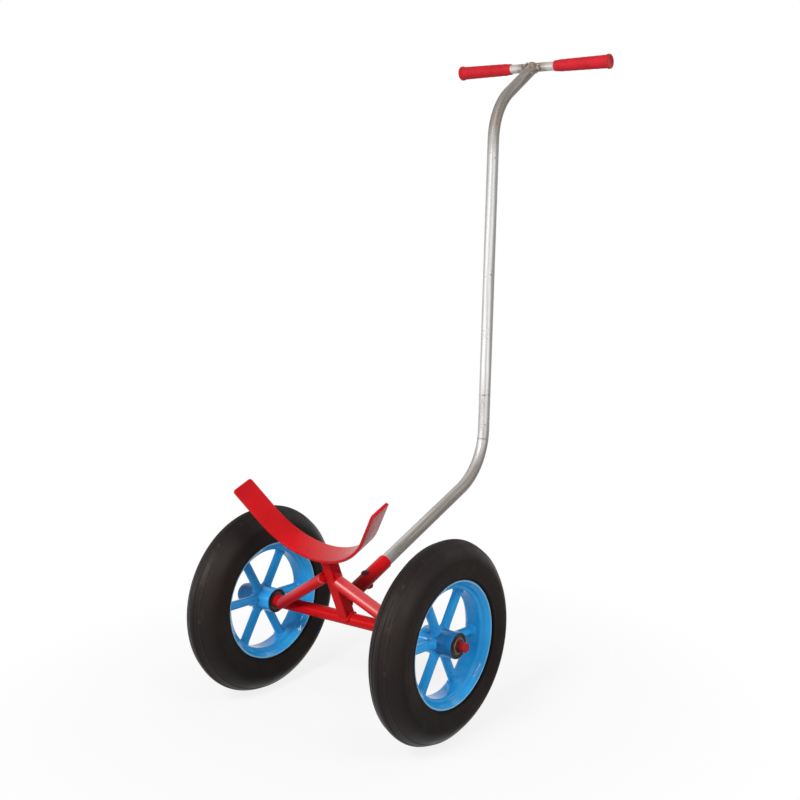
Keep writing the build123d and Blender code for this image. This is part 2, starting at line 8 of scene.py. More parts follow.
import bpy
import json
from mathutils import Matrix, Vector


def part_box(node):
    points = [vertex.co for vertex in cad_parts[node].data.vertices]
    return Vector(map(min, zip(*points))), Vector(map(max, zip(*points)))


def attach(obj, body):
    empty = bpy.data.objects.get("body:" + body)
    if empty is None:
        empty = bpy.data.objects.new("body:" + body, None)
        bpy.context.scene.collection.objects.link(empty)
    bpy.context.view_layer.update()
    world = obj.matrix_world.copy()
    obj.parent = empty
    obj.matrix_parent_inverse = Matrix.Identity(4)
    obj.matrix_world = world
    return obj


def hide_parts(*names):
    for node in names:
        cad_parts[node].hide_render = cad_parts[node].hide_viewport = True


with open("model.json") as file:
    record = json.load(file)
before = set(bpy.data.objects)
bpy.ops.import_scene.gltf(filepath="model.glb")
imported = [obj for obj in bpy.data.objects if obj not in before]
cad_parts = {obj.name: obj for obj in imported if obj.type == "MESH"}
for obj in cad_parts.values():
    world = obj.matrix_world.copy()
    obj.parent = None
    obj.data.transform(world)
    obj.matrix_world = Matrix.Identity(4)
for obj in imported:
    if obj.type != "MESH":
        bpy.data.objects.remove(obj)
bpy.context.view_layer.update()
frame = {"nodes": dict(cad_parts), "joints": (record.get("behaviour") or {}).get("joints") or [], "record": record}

# %% [markdown]
# ## Where things are
# The wheels turn on the axle, so the wheel joint gives the axle's place. The frame and the handle lean
# forward about that axle, and the pipe seat's direction gives the lean. With these two a piece can be
# drawn in the simple upright position, with the axle along X, and then tipped into place by one matrix.

# %% Axle, lean and the two working places
import json
import math

import bmesh
import bpy
from mathutils import Matrix, Vector, noise

MM = 0.001


def mm(*sizes):
    """Sizes in millimetres, as metres."""
    return [size * MM for size in sizes]


SIDES = {"left": -1, "right": 1}
joint_of = {joint["name"]: joint for joint in frame["joints"]}
seat = frame["record"]["mounts"][0]
axle = Vector(joint_of["right_wheel_spin"]["pos_m"])
lean = math.atan2(seat["axis"][2], seat["axis"][1]) + math.pi
leaning = Matrix.Translation(axle) @ Matrix.Rotation(lean, 4, "X")
upright = leaning.inverted()
print("axle at", [round(value, 4) for value in axle], "lean", round(math.degrees(lean), 2), "degrees")


def size_of(node):
    """Width, depth and height of a node of the frame, and its middle."""
    low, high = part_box(node)
    return high - low, (low + high) / 2


# %% [markdown]
# ## Wiring a finish
# A finish is a small network of shader nodes. Typing every link by hand hides the idea, so a few helpers
# add a node and fill its sockets by name: a capital letter means a socket, which takes a value or another
# node's output, and a small letter means one of the node's options.

# %% Nodes by name
def plug(socket, value):
    """Joins a node's output to a socket, or sets the socket to a plain value."""
    if isinstance(value, bpy.types.NodeSocket):
        socket.id_data.links.new(value, socket)
    else:
        socket.default_value = value


def fill(node, **settings):
    """Fills a node's sockets and options by name, and returns the node."""
    for key, value in settings.items():
        if key[0].islower():
            setattr(node, key, value)
        else:
            plug(node.inputs[key.replace("_", " ")], value)
    return node


def wire(beside, kind, **settings):
    """Adds a shader node to the tree that a given node or socket belongs to, fills it and returns it."""
    return fill(beside.id_data.nodes.new("ShaderNode" + kind), **settings)


def new_finish(name):
    """An empty finish: the material, its shader and the piece's own coordinates."""
    finish = bpy.data.materials.new(name)
    finish.use_nodes = True
    shader = finish.node_tree.nodes["Principled BSDF"]
    return finish, shader, wire(shader, "TexCoord").outputs["Object"]


print("the setting Base_Color fills the socket", "Base_Color".replace("_", " "))

# %% [markdown]
# ## Enamel
# Frame and wheels are brushed or sprayed with gloss enamel. Up close it is never one colour: it is
# thinner in some places, has a faint orange-peel skin, and is chipped to dark metal here and there. Faces
# that look up are wiped and rained clean and shine, upright ones are dulled by dust, so the gloss follows
# the slope.

# %% Patches, masks and layers
def combine(kind, *values, **options):
    """Adds a node whose sockets are filled in order, as a sum or a mix needs."""
    node = wire(values[0], kind, **options)
    for socket, value in zip(node.inputs, values):
        plug(socket, value)
    return node


def cloud(where, scale, detail=2.0, rough=0.5):
    """Soft random patches, as a value about 0.5; scale is patches to the metre."""
    return wire(where, "TexNoise", Vector=where, Scale=scale, Detail=detail, Roughness=rough).outputs["Fac"]


def window(value, low, high, to_low=0.0, to_high=1.0):
    """Stretches the part of a value between low and high over another range, and clips the rest."""
    node = wire(value, "MapRange", Value=value, From_Min=low, From_Max=high, To_Min=to_low, To_Max=to_high)
    return node.outputs["Result"]


def both(first, second):
    """Only where both masks are on."""
    return combine("Math", first, second, operation="MULTIPLY").outputs[0]


def layer(mask, under, over):
    """One colour over another, where a mask says so. A colour is a tuple or a node's output."""
    node = wire(mask, "Mix", data_type="RGBA")
    plug(node.inputs[0], mask)
    for socket, colour in ((node.inputs[6], under), (node.inputs[7], over)):
        plug(socket, (*colour, 1.0) if isinstance(colour, tuple) else colour)
    return node.outputs[2]


print("finishes that came with the frame:", len(bpy.data.materials))

# %% Enamel
NEARLY_LEVEL, ROUND_TOP = (0.82, 0.97), (-0.25, 0.5)
COAT_ROUGH = 0.04


def uneven(where, scale, detail, low, high):
    """A value that drifts softly between two others, for a sheen that is never quite even."""
    return window(cloud(where, scale, detail), 0.3, 0.7, low, high)


def axes(vector):
    """A vector's three parts, by the names X, Y and Z."""
    return wire(vector, "SeparateXYZ", Vector=vector).outputs


def by_slope(shader, on_sides, on_top, steep, level):
    """One value on upright faces, another on those that look up; a slope is the height of the normal."""
    normal = wire(shader, "NewGeometry").outputs["Normal"]
    return window(axes(normal)["Z"], steep, level, on_sides, on_top)


def raise_surface(shader, height, depth, strength=1.0):
    """Bumps the surface by a height that runs from 0 to 1, over a depth in metres."""
    bump = wire(shader, "Bump", Height=height, Distance=depth, Strength=strength)
    fill(shader, Normal=bump.outputs["Normal"])


def enamel(name, paint, chip, chips_from, rough, marks=None, gloss=(0.06, 0.5), slope=NEARLY_LEVEL, coat=0.0):
    finish, shader, where = new_finish(name)
    colour = layer(window(cloud(where, 11.0, 3.0), 0.36, 0.64), *paint)
    chip_area = window(cloud(where, 16.0), 0.56, 0.62)
    chip_specks = window(cloud(where, 210.0, 3.0), chips_from, chips_from + 0.03)
    colour = layer(both(chip_area, chip_specks), colour, chip)
    if marks:
        colour = marks(where, colour)
    sheen = uneven(where, 34.0, 4.0, *rough)
    shine = by_slope(shader, *gloss, *slope)
    fill(shader, Base_Color=colour, Roughness=sheen, Specular_IOR_Level=shine)
    fill(shader, Coat_Weight=coat, Coat_Roughness=COAT_ROUGH)
    raise_surface(shader, cloud(where, 300.0, 1.0), 0.12 * MM, 0.15)
    return finish


print("gloss sets in on faces whose normal is", NEARLY_LEVEL[0], "high and is full at", NEARLY_LEVEL[1])

# %% [markdown]
# ## Marks on the enamel
# Pale blue along the rim's rolled lip is a painted highlight. Grease blackens the hub's end faces and has
# crept out over the axle's end. A darker blue over the hub's outer half is painted shade, and a darker red
# on the socket near the post is painted shadow of the saddle. Each mark is a function that lays its colour
# over the paint, so that one enamel serves every piece.

# %% Marks on the wheels
# The pale blue along the rim's lip is a painted highlight.
LIP_BAND, GREASE_BAND = mm(5.0, 2.5), mm(0.6, 0.3)
# The darker blue over each hub's outer half is painted shade.
HUB_SHADE_START, HUB_SHADE_FULL = mm(-16.0, 2.0)
PAINTED_LIP_HIGHLIGHT, GREASE, HUB_SHADE_BLUE = (0.27, 0.55, 0.76), (0.035, 0.032, 0.034), (0.010, 0.11, 0.29)
rim_size, _ = size_of("right_rim")
hub_size, _ = size_of("right_hub")


def stretched(where, along, around):
    """Coordinates squeezed differently along X and across it, so patches become streaks."""
    return combine("VectorMath", where, (along, around, around), operation="MULTIPLY").outputs[0]


def length_of(vector):
    return combine("VectorMath", vector, operation="LENGTH").outputs["Value"]


def from_axle(where):
    """Distance from the X axis, which is the axle for every turned piece."""
    return length_of(stretched(where, 0.0, 1.0))


def along_axle(where):
    """Distance from the middle, measured along X and to either side."""
    return combine("Math", axes(where)["X"], operation="ABSOLUTE").outputs[0]


def near_edge(distance, edge, far, near, *to):
    """On close to an edge: it sets in far before the edge and is full near it."""
    return window(distance, edge - far, edge - near, *to)


def wheel_marks(where, colour):
    """A pale blue painted highlight along the rim's lip, and grease on the hub's end faces."""
    lip = near_edge(from_axle(where), rim_size.z / 2, *LIP_BAND)
    colour = layer(lip, colour, PAINTED_LIP_HIGHLIGHT)
    grease = near_edge(along_axle(where), hub_size.x / 2, *GREASE_BAND)
    return layer(grease, colour, GREASE)


def shaded_hub_marks(outward):
    """The wheel's marks, and painted shade, a darker blue, over the hub's outer half."""
    def marks(where, colour):
        outer_half_shade = window(axes(where)["X"], outward * HUB_SHADE_START, outward * HUB_SHADE_FULL, 0.0, 0.7)
        return wheel_marks(where, layer(outer_half_shade, colour, HUB_SHADE_BLUE))
    return marks


print("pale lip outside a radius of", round(rim_size.z / 2 - LIP_BAND[0], 4), "m")

# %% Marks on the socket and the axle
# The darker red on the socket near the post is painted shadow of the saddle.
SOCKET_SHADE_FULL, SOCKET_SHADE_END = mm(55.0, 125.0)
SOCKET_SHADE_RED, GREASY_RED = (0.10, 0.003, 0.004), (0.035, 0.015, 0.014)
_, washer_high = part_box("right_washer")
_, axle_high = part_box("axle_bar")


def toward(where, direction):
    """Distance in one direction."""
    return combine("VectorMath", where, direction, operation="DOT_PRODUCT").outputs["Value"]


def socket_shade_marks(where, colour):
    """Painted shadow of the saddle: a darker red on the socket near the post, measured along the leaning frame."""
    along = toward(where, (0, math.cos(lean), math.sin(lean)))
    dirt_and_shade = window(along, SOCKET_SHADE_FULL, SOCKET_SHADE_END, 0.7, 0.0)
    return layer(dirt_and_shade, colour, SOCKET_SHADE_RED)


def axle_marks(where, colour):
    """Grease that has crept out of the bearing over the axle's end."""
    grease = window(along_axle(where), washer_high.x, axle_high.x, 0.9, 0.0)
    return layer(grease, colour, GREASY_RED)


print("grease reaches", round(axle_high.x - washer_high.x, 4), "m out along the axle")

# %% Paints for the frame and the wheels
RED = ((0.43, 0.005, 0.0075), (0.50, 0.006, 0.009))
SADDLE_RED = ((0.38, 0.0042, 0.0065), (0.45, 0.005, 0.008))
AXLE_RED = ((0.27, 0.010, 0.012), (0.36, 0.012, 0.015))
BLUE = ((0.016, 0.30, 0.67), (0.026, 0.37, 0.79))
# The dust cap's dark navy is painted shade.
CAP_SHADE_BLUE = ((0.010, 0.085, 0.23), (0.015, 0.14, 0.36))
RED_CHIP, BLUE_CHIP = (0.10, 0.02, 0.018), (0.03, 0.06, 0.10)
FRAME_SHEEN, WHEEL_SHEEN, WHEEL_COAT = (0.2, 0.34), (0.12, 0.22), 0.18
DULL, SHINY, BRIGHT_ROUND = (0.04, 0.1), (0.1, 0.5), (0.06, 1.0)


def wheel_enamel(name, marks):
    return enamel(name, BLUE, BLUE_CHIP, 0.67, WHEEL_SHEEN, marks, coat=WHEEL_COAT)


red_enamel = enamel("red_enamel", RED, RED_CHIP, 0.72, FRAME_SHEEN, None, DULL)
socket_enamel = enamel("socket_enamel", RED, RED_CHIP, 0.72, FRAME_SHEEN, socket_shade_marks, DULL)
saddle_enamel = enamel("saddle_enamel", SADDLE_RED, RED_CHIP, 0.72, FRAME_SHEEN, None, SHINY)
leg_enamel = enamel("leg_enamel", RED, RED_CHIP, 0.72, (0.4, 0.5), None, BRIGHT_ROUND, ROUND_TOP)
axle_enamel = enamel("axle_enamel", AXLE_RED, RED_CHIP, 0.6, (0.3, 0.45), axle_marks)
blue_enamel = wheel_enamel("blue_enamel", wheel_marks)
cap_enamel = enamel("cap_enamel", CAP_SHADE_BLUE, BLUE_CHIP, 0.62, (0.24, 0.4))
print("enamels:", red_enamel.name, saddle_enamel.name, leg_enamel.name, blue_enamel.name, cap_enamel.name)

# %% [markdown]
# ## Tyre rubber
# Solid tyres are moulded in carbon-black rubber, nearly black, with a brown bloom of dust. The floor has
# polished the tread, which shows as a soft sheen on its upright stretches; its top is dulled by dust. The
# distance from the wheel's middle tells the tread from the walls, and a near-black painted shade runs
# round the crevice at the rim's lip.

# %% Rubber for the tyres
RUBBER = ((0.0118, 0.0090, 0.0086), (0.0185, 0.0134, 0.0110))
SCUFF, BEAD_SHADE = (0.060, 0.042, 0.030), (0.0025, 0.0028, 0.0035)
SCUFFED, POLISHED, AT_BEAD = mm(14.0, 4.0), mm(34.0, 14.0), mm(-1.5, -6.0)


def between(mask, off, on):
    """One value where a mask is off and another where it is on."""
    return window(mask, 0.0, 1.0, off, on)


def tyre_rubber_finish(tread_radius, bead_radius):
    finish, shader, where = new_finish("tyre_rubber")
    radius = from_axle(where)
    colour = layer(window(cloud(where, 7.0, 5.0), 0.38, 0.7), *RUBBER)
    on_tread = near_edge(radius, tread_radius, *SCUFFED)
    scuffs = window(cloud(where, 19.0, 6.0, 0.62), 0.61, 0.73)
    colour = layer(both(on_tread, scuffs), colour, SCUFF)
    # Painted shade: a near-black ring at the tyre's bead, in the crevice by the rim's lip.
    shade_at_bead = near_edge(radius, bead_radius, *AT_BEAD, 0.9, 0.0)
    colour = layer(shade_at_bead, colour, BEAD_SHADE)
    worn = near_edge(radius, tread_radius, *POLISHED)
    polish = both(worn, by_slope(shader, 1.0, 0.0, 0.35, 0.75))
    rough = both(uneven(where, 40.0, 4.0, 0.50, 0.66), between(polish, 1.0, 0.64))
    shine = between(polish, 0.06, 0.12)
    fill(shader, Base_Color=colour, Roughness=rough, Specular_IOR_Level=shine)
    raise_surface(shader, cloud(where, 900.0, 3.0), 0.15 * MM, 0.3)
    return finish


tyre_size, _ = size_of("right_tyre")
tyre_rubber = tyre_rubber_finish(tyre_size.z / 2, rim_size.z / 2)
print("tyre rubber for a tread at", round(tyre_size.z / 2, 4), "m")

# %% [markdown]
# ## The tyre
# The tyre is a solid ring with a rounded, almost pointed crown, two grooves beside a centre rib, and a
# fine rib on each shoulder. A torus would be too round, so the crown is a rounded diamond: one power
# decides how full its shoulders are. Relief is added as small steps in the radius before the outline is
# carried round.

# %% Relief of the tread and the wall
GROOVE_AT, GROOVE_HALF, GROOVE_DEEP, GROOVE_EDGE = mm(7.0, 1.2, 1.5, 0.45)
RIB_AT, RIB_HALF, RIB_HIGH = mm(18.0, 1.4, 1.2)
PARTING_DEEP, PARTING_WIDE = mm(0.25, 0.35)
LINE_AT, LINE_HIGH, LINE_WIDE = mm(149.0, 0.45, 0.7)
BAND_AT, BAND_HIGH, BAND_EDGE = mm(134.0, 0.8, 1.2)
BAND_END, BAND_FALL = mm(128.5, 3.0)


def ease(share):
    """A smooth step from 0 to 1."""
    share = min(max(share, 0.0), 1.0)
    return share * share * (3 - 2 * share)


def tread_relief(x):
    """How far the tread stands above or below the plain crown at a distance from the middle."""
    off = abs(x)
    groove = ease((GROOVE_HALF + GROOVE_EDGE - abs(off - GROOVE_AT)) / (2 * GROOVE_EDGE))
    rib = math.sqrt(max(1 - ((off - RIB_AT) / RIB_HALF) ** 2, 0.0))
    parting = PARTING_DEEP * math.exp(-(x / PARTING_WIDE) ** 2)
    return RIB_HIGH * rib - GROOVE_DEEP * groove - parting


def wall_relief(r):
    """Moulded rings on the tyre's wall: a fine line half way up and a flat band before the bead."""
    line = LINE_HIGH * math.exp(-((r - LINE_AT) / LINE_WIDE) ** 2)
    band = ease((BAND_AT - r) / BAND_EDGE) - ease((BAND_END - r) / BAND_FALL)
    return line + BAND_HIGH * band


print("relief in mm at groove and rib:", [round(tread_relief(x) / MM, 2) for x in (GROOVE_AT, RIB_AT)])

# %% Tyre outline
CROWN_FULLNESS, CROWN_STEPS, WALL_STEPS = 1.55, 190, 40
WIDEST_RADIUS, BEAD_OUT = mm(162.0, 1.5)
SHEET, LIP, SEAT_GAP = mm(3.0, 2.5, 0.05)
WELL_HALF, WELL_RADIUS = mm(16.5, 106.0)
SEAT_START, SEAT_END = mm(19.0, 112.0), mm(24.0, 114.5)


def other_half(points):
    """The same outline on the other side of the middle, reversed so that the halves join up."""
    return [(-x, r) for x, r in reversed(points)]


def rim_sheet(rim, offset):
    """The pressed rim's section from lip to lip: inside for offset 0, or its outside."""
    points = [(WELL_HALF, WELL_RADIUS), SEAT_START, SEAT_END, (rim.x / 2 - LIP, rim.z / 2 - LIP)]
    right = [(x - offset / 2, r + offset) for x, r in points]
    return other_half(right) + right


def tyre_outline(tyre, rim):
    top, half_width = tyre.z / 2, tyre.x / 2
    crown = []
    for i in range(CROWN_STEPS + 1):
        angle = math.pi * (i / CROWN_STEPS - 0.5)
        x = math.copysign(half_width * abs(math.sin(angle)) ** (2 / CROWN_FULLNESS), angle)
        rise = (top - WIDEST_RADIUS) * abs(math.cos(angle)) ** (2 / CROWN_FULLNESS)
        crown.append((x, min(WIDEST_RADIUS + rise + tread_relief(x), top)))
    bead_x, bead_r = rim.x / 2 + BEAD_OUT, rim.z / 2 + SEAT_GAP
    drop, inset = WIDEST_RADIUS - bead_r, half_width - bead_x
    wall_radius = (drop**2 + inset**2) / (2 * inset)
    wall = []
    for i in range(1, WALL_STEPS + 1):
        down = drop * i / WALL_STEPS
        x = half_width - wall_radius + math.sqrt(wall_radius**2 - down**2)
        wall.append((x + wall_relief(WIDEST_RADIUS - down), WIDEST_RADIUS - down))
    channel = rim_sheet(rim, SHEET + SEAT_GAP)
    return crown + wall + list(reversed(channel)) + other_half(wall)


print("tyre outline of", len(tyre_outline(tyre_size, rim_size)), "points")

# %% [markdown]
# ## Skins from rings
# Nearly every piece here is turned, bent or drawn from bar: a closed outline carried round an axle or
# along a path. Blender could spin a profile with a Screw modifier or bevel a curve, but one helper that
# joins rings of points covers them all, gives watertight meshes and lets each ring differ a little, as a
# weld bead needs.

# %% Skins
SAME_PLACE = 1e-6


def add(name, data):
    """A new object in the scene."""
    thing = bpy.data.objects.new(name, data)
    bpy.context.scene.collection.objects.link(thing)
    return thing


def skin(name, ring_sets, place, crease=40, marks=None):
    """A watertight mesh over one or more sets of rings; each set is (rings, joined round?)."""
    shell = bmesh.new()
    for rings, joined_round in ring_sets:
        rows = [[shell.verts.new(point) for point in ring] for ring in rings]
        pairs = list(zip(rows, rows[1:])) + ([(rows[-1], rows[0])] if joined_round else [])
        for row, following in pairs:
            for i in range(len(row)):
                j = (i + 1) % len(row)
                shell.faces.new((row[i], row[j], following[j], following[i]))
        if not joined_round:
            shell.faces.new(rows[0])
            shell.faces.new(rows[-1])
    mesh = bpy.data.meshes.new(name)
    if marks is None:
        bmesh.ops.remove_doubles(shell, verts=shell.verts, dist=SAME_PLACE)
    bmesh.ops.recalc_face_normals(shell, faces=shell.faces)
    shell.to_mesh(mesh)
    shell.free()
    if marks is not None:
        run_marks = mesh.attributes.new("run", "FLOAT_VECTOR", "POINT")
        run_marks.data.foreach_set("vector", [value for mark in marks for value in mark])
    mesh.transform(place.to_3x3().to_4x4())
    mesh.shade_smooth()
    mesh.set_sharp_from_angle(angle=math.radians(crease))
    piece = add(name, mesh)
    piece.location = place.translation
    bpy.context.view_layer.update()
    return piece


def fit(piece, finish, slot_name, body, *nodes):
    """Gives a piece its finish, sets it on its body and lets it stand for nodes of the frame."""
    piece.data.materials.append(finish)
    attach(piece, body)
    if nodes:
        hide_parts(*nodes)
    print(piece.name, "with", len(piece.data.polygons), "faces rides on", body)


print("a skin joins points that are nearer than", SAME_PLACE, "m")

# %% Make both tyres
TYRE_TURNS = 224


def full_turn(steps):
    """Even angles once round, in radians."""
    return [2 * math.pi * i / steps for i in range(steps)]


def turn_round_axle(outline, turns):
    """Rings for a closed outline of (along the axle, radius), carried round the axle."""
    return [[Vector((x, r * math.cos(a), r * math.sin(a))) for x, r in outline] for a in full_turn(turns)]


def turned(name, outline, turns, place, crease=40):
    """A skin turned on the axle from one closed outline."""
    return skin(name, [(turn_round_axle(outline, turns), True)], place, crease)


for side in SIDES:
    tyre_size, middle = size_of(f"{side}_tyre")
    outline = tyre_outline(tyre_size, size_of(f"{side}_rim")[0])
    tyre = turned(f"{side}_tyre_skin", outline, TYRE_TURNS, Matrix.Translation(middle), crease=50)
    fit(tyre, tyre_rubber, "tyre_rubber", f"{side}_wheel", f"{side}_tyre")

# %% [markdown]
# ## The rim
# The rim is pressed from sheet: a deep well in the middle, two narrow seats, sloping flanges and a lip
# rolled over at each edge. The side that shows is bent with soft corners and ends in the full round of
# the lip; the side under the tyre is hidden, so it stays plain.

# %% Arcs and soft corners
def arc(centre, radius, start, end, steps):
    """Points on a circle from one angle to another, in degrees."""
    angles = [math.radians(start + (end - start) * i / steps) for i in range(steps + 1)]
    return [(centre[0] + radius * math.cos(a), centre[1] + radius * math.sin(a)) for a in angles]


def soften(points, radius, steps=5):
    """An open outline with its inner corners rounded off."""
    outline = [points[0]]
    for before, corner, after in zip(points, points[1:], points[2:]):
        here = Vector(corner)
        back, on = (Vector(before) - here).normalized(), (Vector(after) - here).normalized()
        half = back.angle(on) / 2
        reach = radius / math.tan(half)
        middle = here + (back + on).normalized() * radius / math.sin(half)
        first, last = here + back * reach - middle, here + on * reach - middle
        for i in range(steps + 1):
            outline.append(tuple(middle + first.slerp(last, i / steps).normalized() * radius))
    return outline + [points[-1]]


print("a softened corner has", len(soften([(0, 1), (1, 1), (1, 0)], 0.2)) - 2, "points")

# %% Make both rims
BEND, RIM_TURNS = 5.0 * MM, 192
LIP_FROM_FLANGE, LIP_END, LIP_STEPS = 62, 160, 20


def rim_outline(rim):
    inside = rim_sheet(rim, 0.0)
    (seat_x, seat_r), (lip_x, lip_r) = inside[-2:]
    flange = math.degrees(math.atan2(seat_r - lip_r, seat_x - lip_x))
    right_lip = arc((lip_x, lip_r), LIP, flange + LIP_FROM_FLANGE, LIP_END, LIP_STEPS)
    left_lip = other_half(right_lip)
    shown = soften([left_lip[-1], *inside[1:-1], right_lip[0]], BEND)
    hidden = list(reversed(rim_sheet(rim, SHEET)[1:-1]))
    return shown[1:-1] + right_lip + hidden + left_lip


for side in SIDES:
    size, middle = size_of(f"{side}_rim")
    rim = turned(f"{side}_rim_skin", rim_outline(size), RIM_TURNS, Matrix.Translation(middle))
    fit(rim, blue_enamel, "wheel_paint", f"{side}_wheel", f"{side}_rim")

# %% [markdown]
# ## The spokes
# Six round bars are welded between hub and rim, and the paint runs over the welds, so each end swells
# softly into what it stands on. Every ring of a spoke is slid along the bar until it follows the round of
# the hub or of the rim, and the swelling is uneven, because a weld is laid by hand.

# %% Make both sets of spokes
SPOKE_RADIUS, SPOKE_OFFSET, FLARE_OUT, FLARE_LONG, SUNK = mm(9.25, -5.5, 4.4, 10.5, 0.3)
SPOKE_COUNT = 6
FIRST_SPOKE = {"left": math.radians(-3.5), "right": math.radians(-6.0)}
LUMP_HIGH, LUMP_LONG = mm(0.75, 4.0)
LUMPS_ROUND, LUMP_SPREAD = 2.2, 1.6
RIM_END_SEED, WHEEL_SEED, SPOKE_SEED = 7.0, 31, 3.7


def flare(gap, angle, seed):
    """Extra radius of a spoke near its foot, with the lumps of a hand-laid weld."""
    near = 1 - min(gap / FLARE_LONG, 1.0)
    spot = (LUMPS_ROUND * math.cos(angle), LUMPS_ROUND * math.sin(angle), seed + gap / LUMP_LONG)
    round_in = 1 - math.sqrt(max(1 - near**2, 0.0))
    return FLARE_OUT * round_in + LUMP_HIGH * noise.noise(Vector(spot)) * ease(near * LUMP_SPREAD)


def spoke_rings(turn, hub_radius, rim_radius, seed, steps=46, sides=40):
    out = Vector((0, math.cos(turn), math.sin(turn)))
    aside = Vector((0, -math.sin(turn), math.cos(turn)))
    rings = []
    for i in range(steps + 1):
        share = 0.5 - 0.5 * math.cos(math.pi * i / steps)
        gap = (rim_radius - hub_radius) * min(share, 1 - share)
        end_seed = seed + (RIM_END_SEED if share > 0.5 else 0.0)
        ring = []
        for angle in full_turn(sides):
            radius = SPOKE_RADIUS + flare(gap, angle, end_seed)
            sideways = radius * math.sin(angle)
            start = math.sqrt(hub_radius**2 - sideways**2) - SUNK
            end = math.sqrt(rim_radius**2 - sideways**2) + SUNK
            along = start + (end - start) * share
            across = SPOKE_OFFSET + radius * math.cos(angle)
            ring.append(Vector((across, 0, 0)) + aside * sideways + out * along)
        rings.append(ring)
    return rings


for number, side in enumerate(SIDES):
    size, middle = size_of(f"{side}_hub")
    sets = []
    for i, turn in enumerate(full_turn(SPOKE_COUNT)):
        seed = WHEEL_SEED * number + SPOKE_SEED * i
        sets.append((spoke_rings(FIRST_SPOKE[side] + turn, size.z / 2, WELL_RADIUS, seed), False))
    spokes = skin(f"{side}_spoke_skins", sets, Matrix.Translation(middle), crease=60)
    fit(spokes, blue_enamel, "wheel_paint", f"{side}_wheel", f"{side}_spokes")

# %% [markdown]
# ## Hubs and the dust cap
# The hub is a piece of thick tube, bored at each end for a bearing; the far hub also carries a pressed
# cap over its bearing and the axle's end. Both are plain turned parts, so their edges matter most: each
# is rounded as a painted edge is.

# %% Make the hubs and the cap
BEARING_RADIUS, BEARING_WIDTH, SHOULDER = mm(23.5, 14.0, 2.0)
HUB_EDGE, HUB_TURNS = 1.1 * MM, 96
CAP_WALL, CAP_BASE, CAP_MOUTH, CAP_END = mm(1.5, 25.5, 24.5, 20.5)
CAP_CORNER, CAP_EDGE, CAP_STEP, CAP_TAPER = mm(5.0, 0.6, 0.4, 2.0)


def hub_outline(hub):
    half, outside = hub.x / 2, hub.z / 2
    bearing = BEARING_RADIUS + SEAT_GAP
    bore, stop = bearing - SHOULDER, half - BEARING_WIDTH
    edge = soften([(0, outside), (half, outside), (half, bearing)], HUB_EDGE)
    right = edge + [(stop, bearing), (stop, bore), (0, bore)]
    return right + other_half(right[1:-1])


def cap_outline(depth):
    skirt = soften([(0, CAP_BASE), (CAP_WALL, CAP_BASE), (CAP_WALL, CAP_MOUTH + CAP_STEP)], CAP_EDGE, 3)
    dome = soften([(CAP_WALL, CAP_MOUTH), (depth, CAP_END), (depth, 0)], CAP_CORNER, 10)
    floor_at = depth - CAP_WALL
    inside = [(floor_at, 0), (floor_at, CAP_END - CAP_WALL - CAP_TAPER), (0, CAP_MOUTH - CAP_WALL)]
    return skirt[:-1] + dome + inside


for side, sign in SIDES.items():
    size, middle = size_of(f"{side}_hub")
    hub = turned(f"{side}_hub_skin", hub_outline(size), HUB_TURNS, Matrix.Translation(middle))
    hub_enamel = wheel_enamel(f"{side}_hub_enamel", shaded_hub_marks(sign))
    fit(hub, hub_enamel, "wheel_paint", f"{side}_wheel", f"{side}_hub")

cap_size, cap_middle = size_of("left_hub_cap")
cap_mouth = Matrix.Translation(cap_middle + Vector((cap_size.x / 2, 0, 0)))
facing_left = Matrix.Rotation(math.pi, 4, "Z")
cap = turned("left_dust_cap", cap_outline(cap_size.x), HUB_TURNS, cap_mouth @ facing_left)
fit(cap, cap_enamel, "wheel_paint", "left_wheel", "left_hub_cap")

# %% [markdown]
# ## Bearings
# Only the face of each bearing shows: a dark rubber seal between two steel rings. The seal is a stepped
# disc, so it is turned like the rest; rings, balls and cages keep the shapes of the frame and only get
# their finish.

# %% Finishes for rubber seals and for steel
WASHER_EDGE, YELLOW_ZINC = mm(1.6, 0.8), (0.26, 0.19, 0.115)
STEEL_SHINE = 0.12
washer_size, _ = size_of("right_washer")


def seal_rubber_finish():
    finish, shader, where = new_finish("seal_rubber")
    grease = window(cloud(where, 130.0, 4.0), 0.42, 0.66)
    colour = layer(grease, (0.014, 0.013, 0.013), (0.045, 0.031, 0.020))
    fill(shader, Base_Color=colour, Roughness=uneven(where, 90.0, 3.0, 0.38, 0.6))
    raise_surface(shader, cloud(where, 1400.0, 2.0), 0.1 * MM, 0.3)
    return finish


def steel(name, clean, dirty, dirt_from, rough, metal, marks=None):
    finish, shader, where = new_finish(name)
    dirt_and_shade = window(cloud(where, 120.0, 5.0, 0.6), dirt_from, dirt_from + 0.16)
    colour = layer(dirt_and_shade, clean, dirty)
    if marks:
        colour = marks(where, colour)
    fill(shader, Base_Color=colour, Roughness=uneven(where, 260.0, 4.0, *rough))
    fill(shader, Metallic=metal, Specular_IOR_Level=STEEL_SHINE)
    turning_marks = cloud(stretched(where, 1.0, 0.2), 5200.0, 2.0)
    raise_surface(shader, turning_marks, 0.05 * MM, 0.35)
    return finish


def washer_edge(where, colour):
    """Yellow zinc that still shows round the washer's edge; frame nodes keep the frame's own coordinates."""
    from_middle = combine("VectorMath", where, axle, operation="SUBTRACT").outputs[0]
    rubbed = near_edge(from_axle(from_middle), washer_size.z / 2, *WASHER_EDGE)
    return layer(rubbed, colour, YELLOW_ZINC)


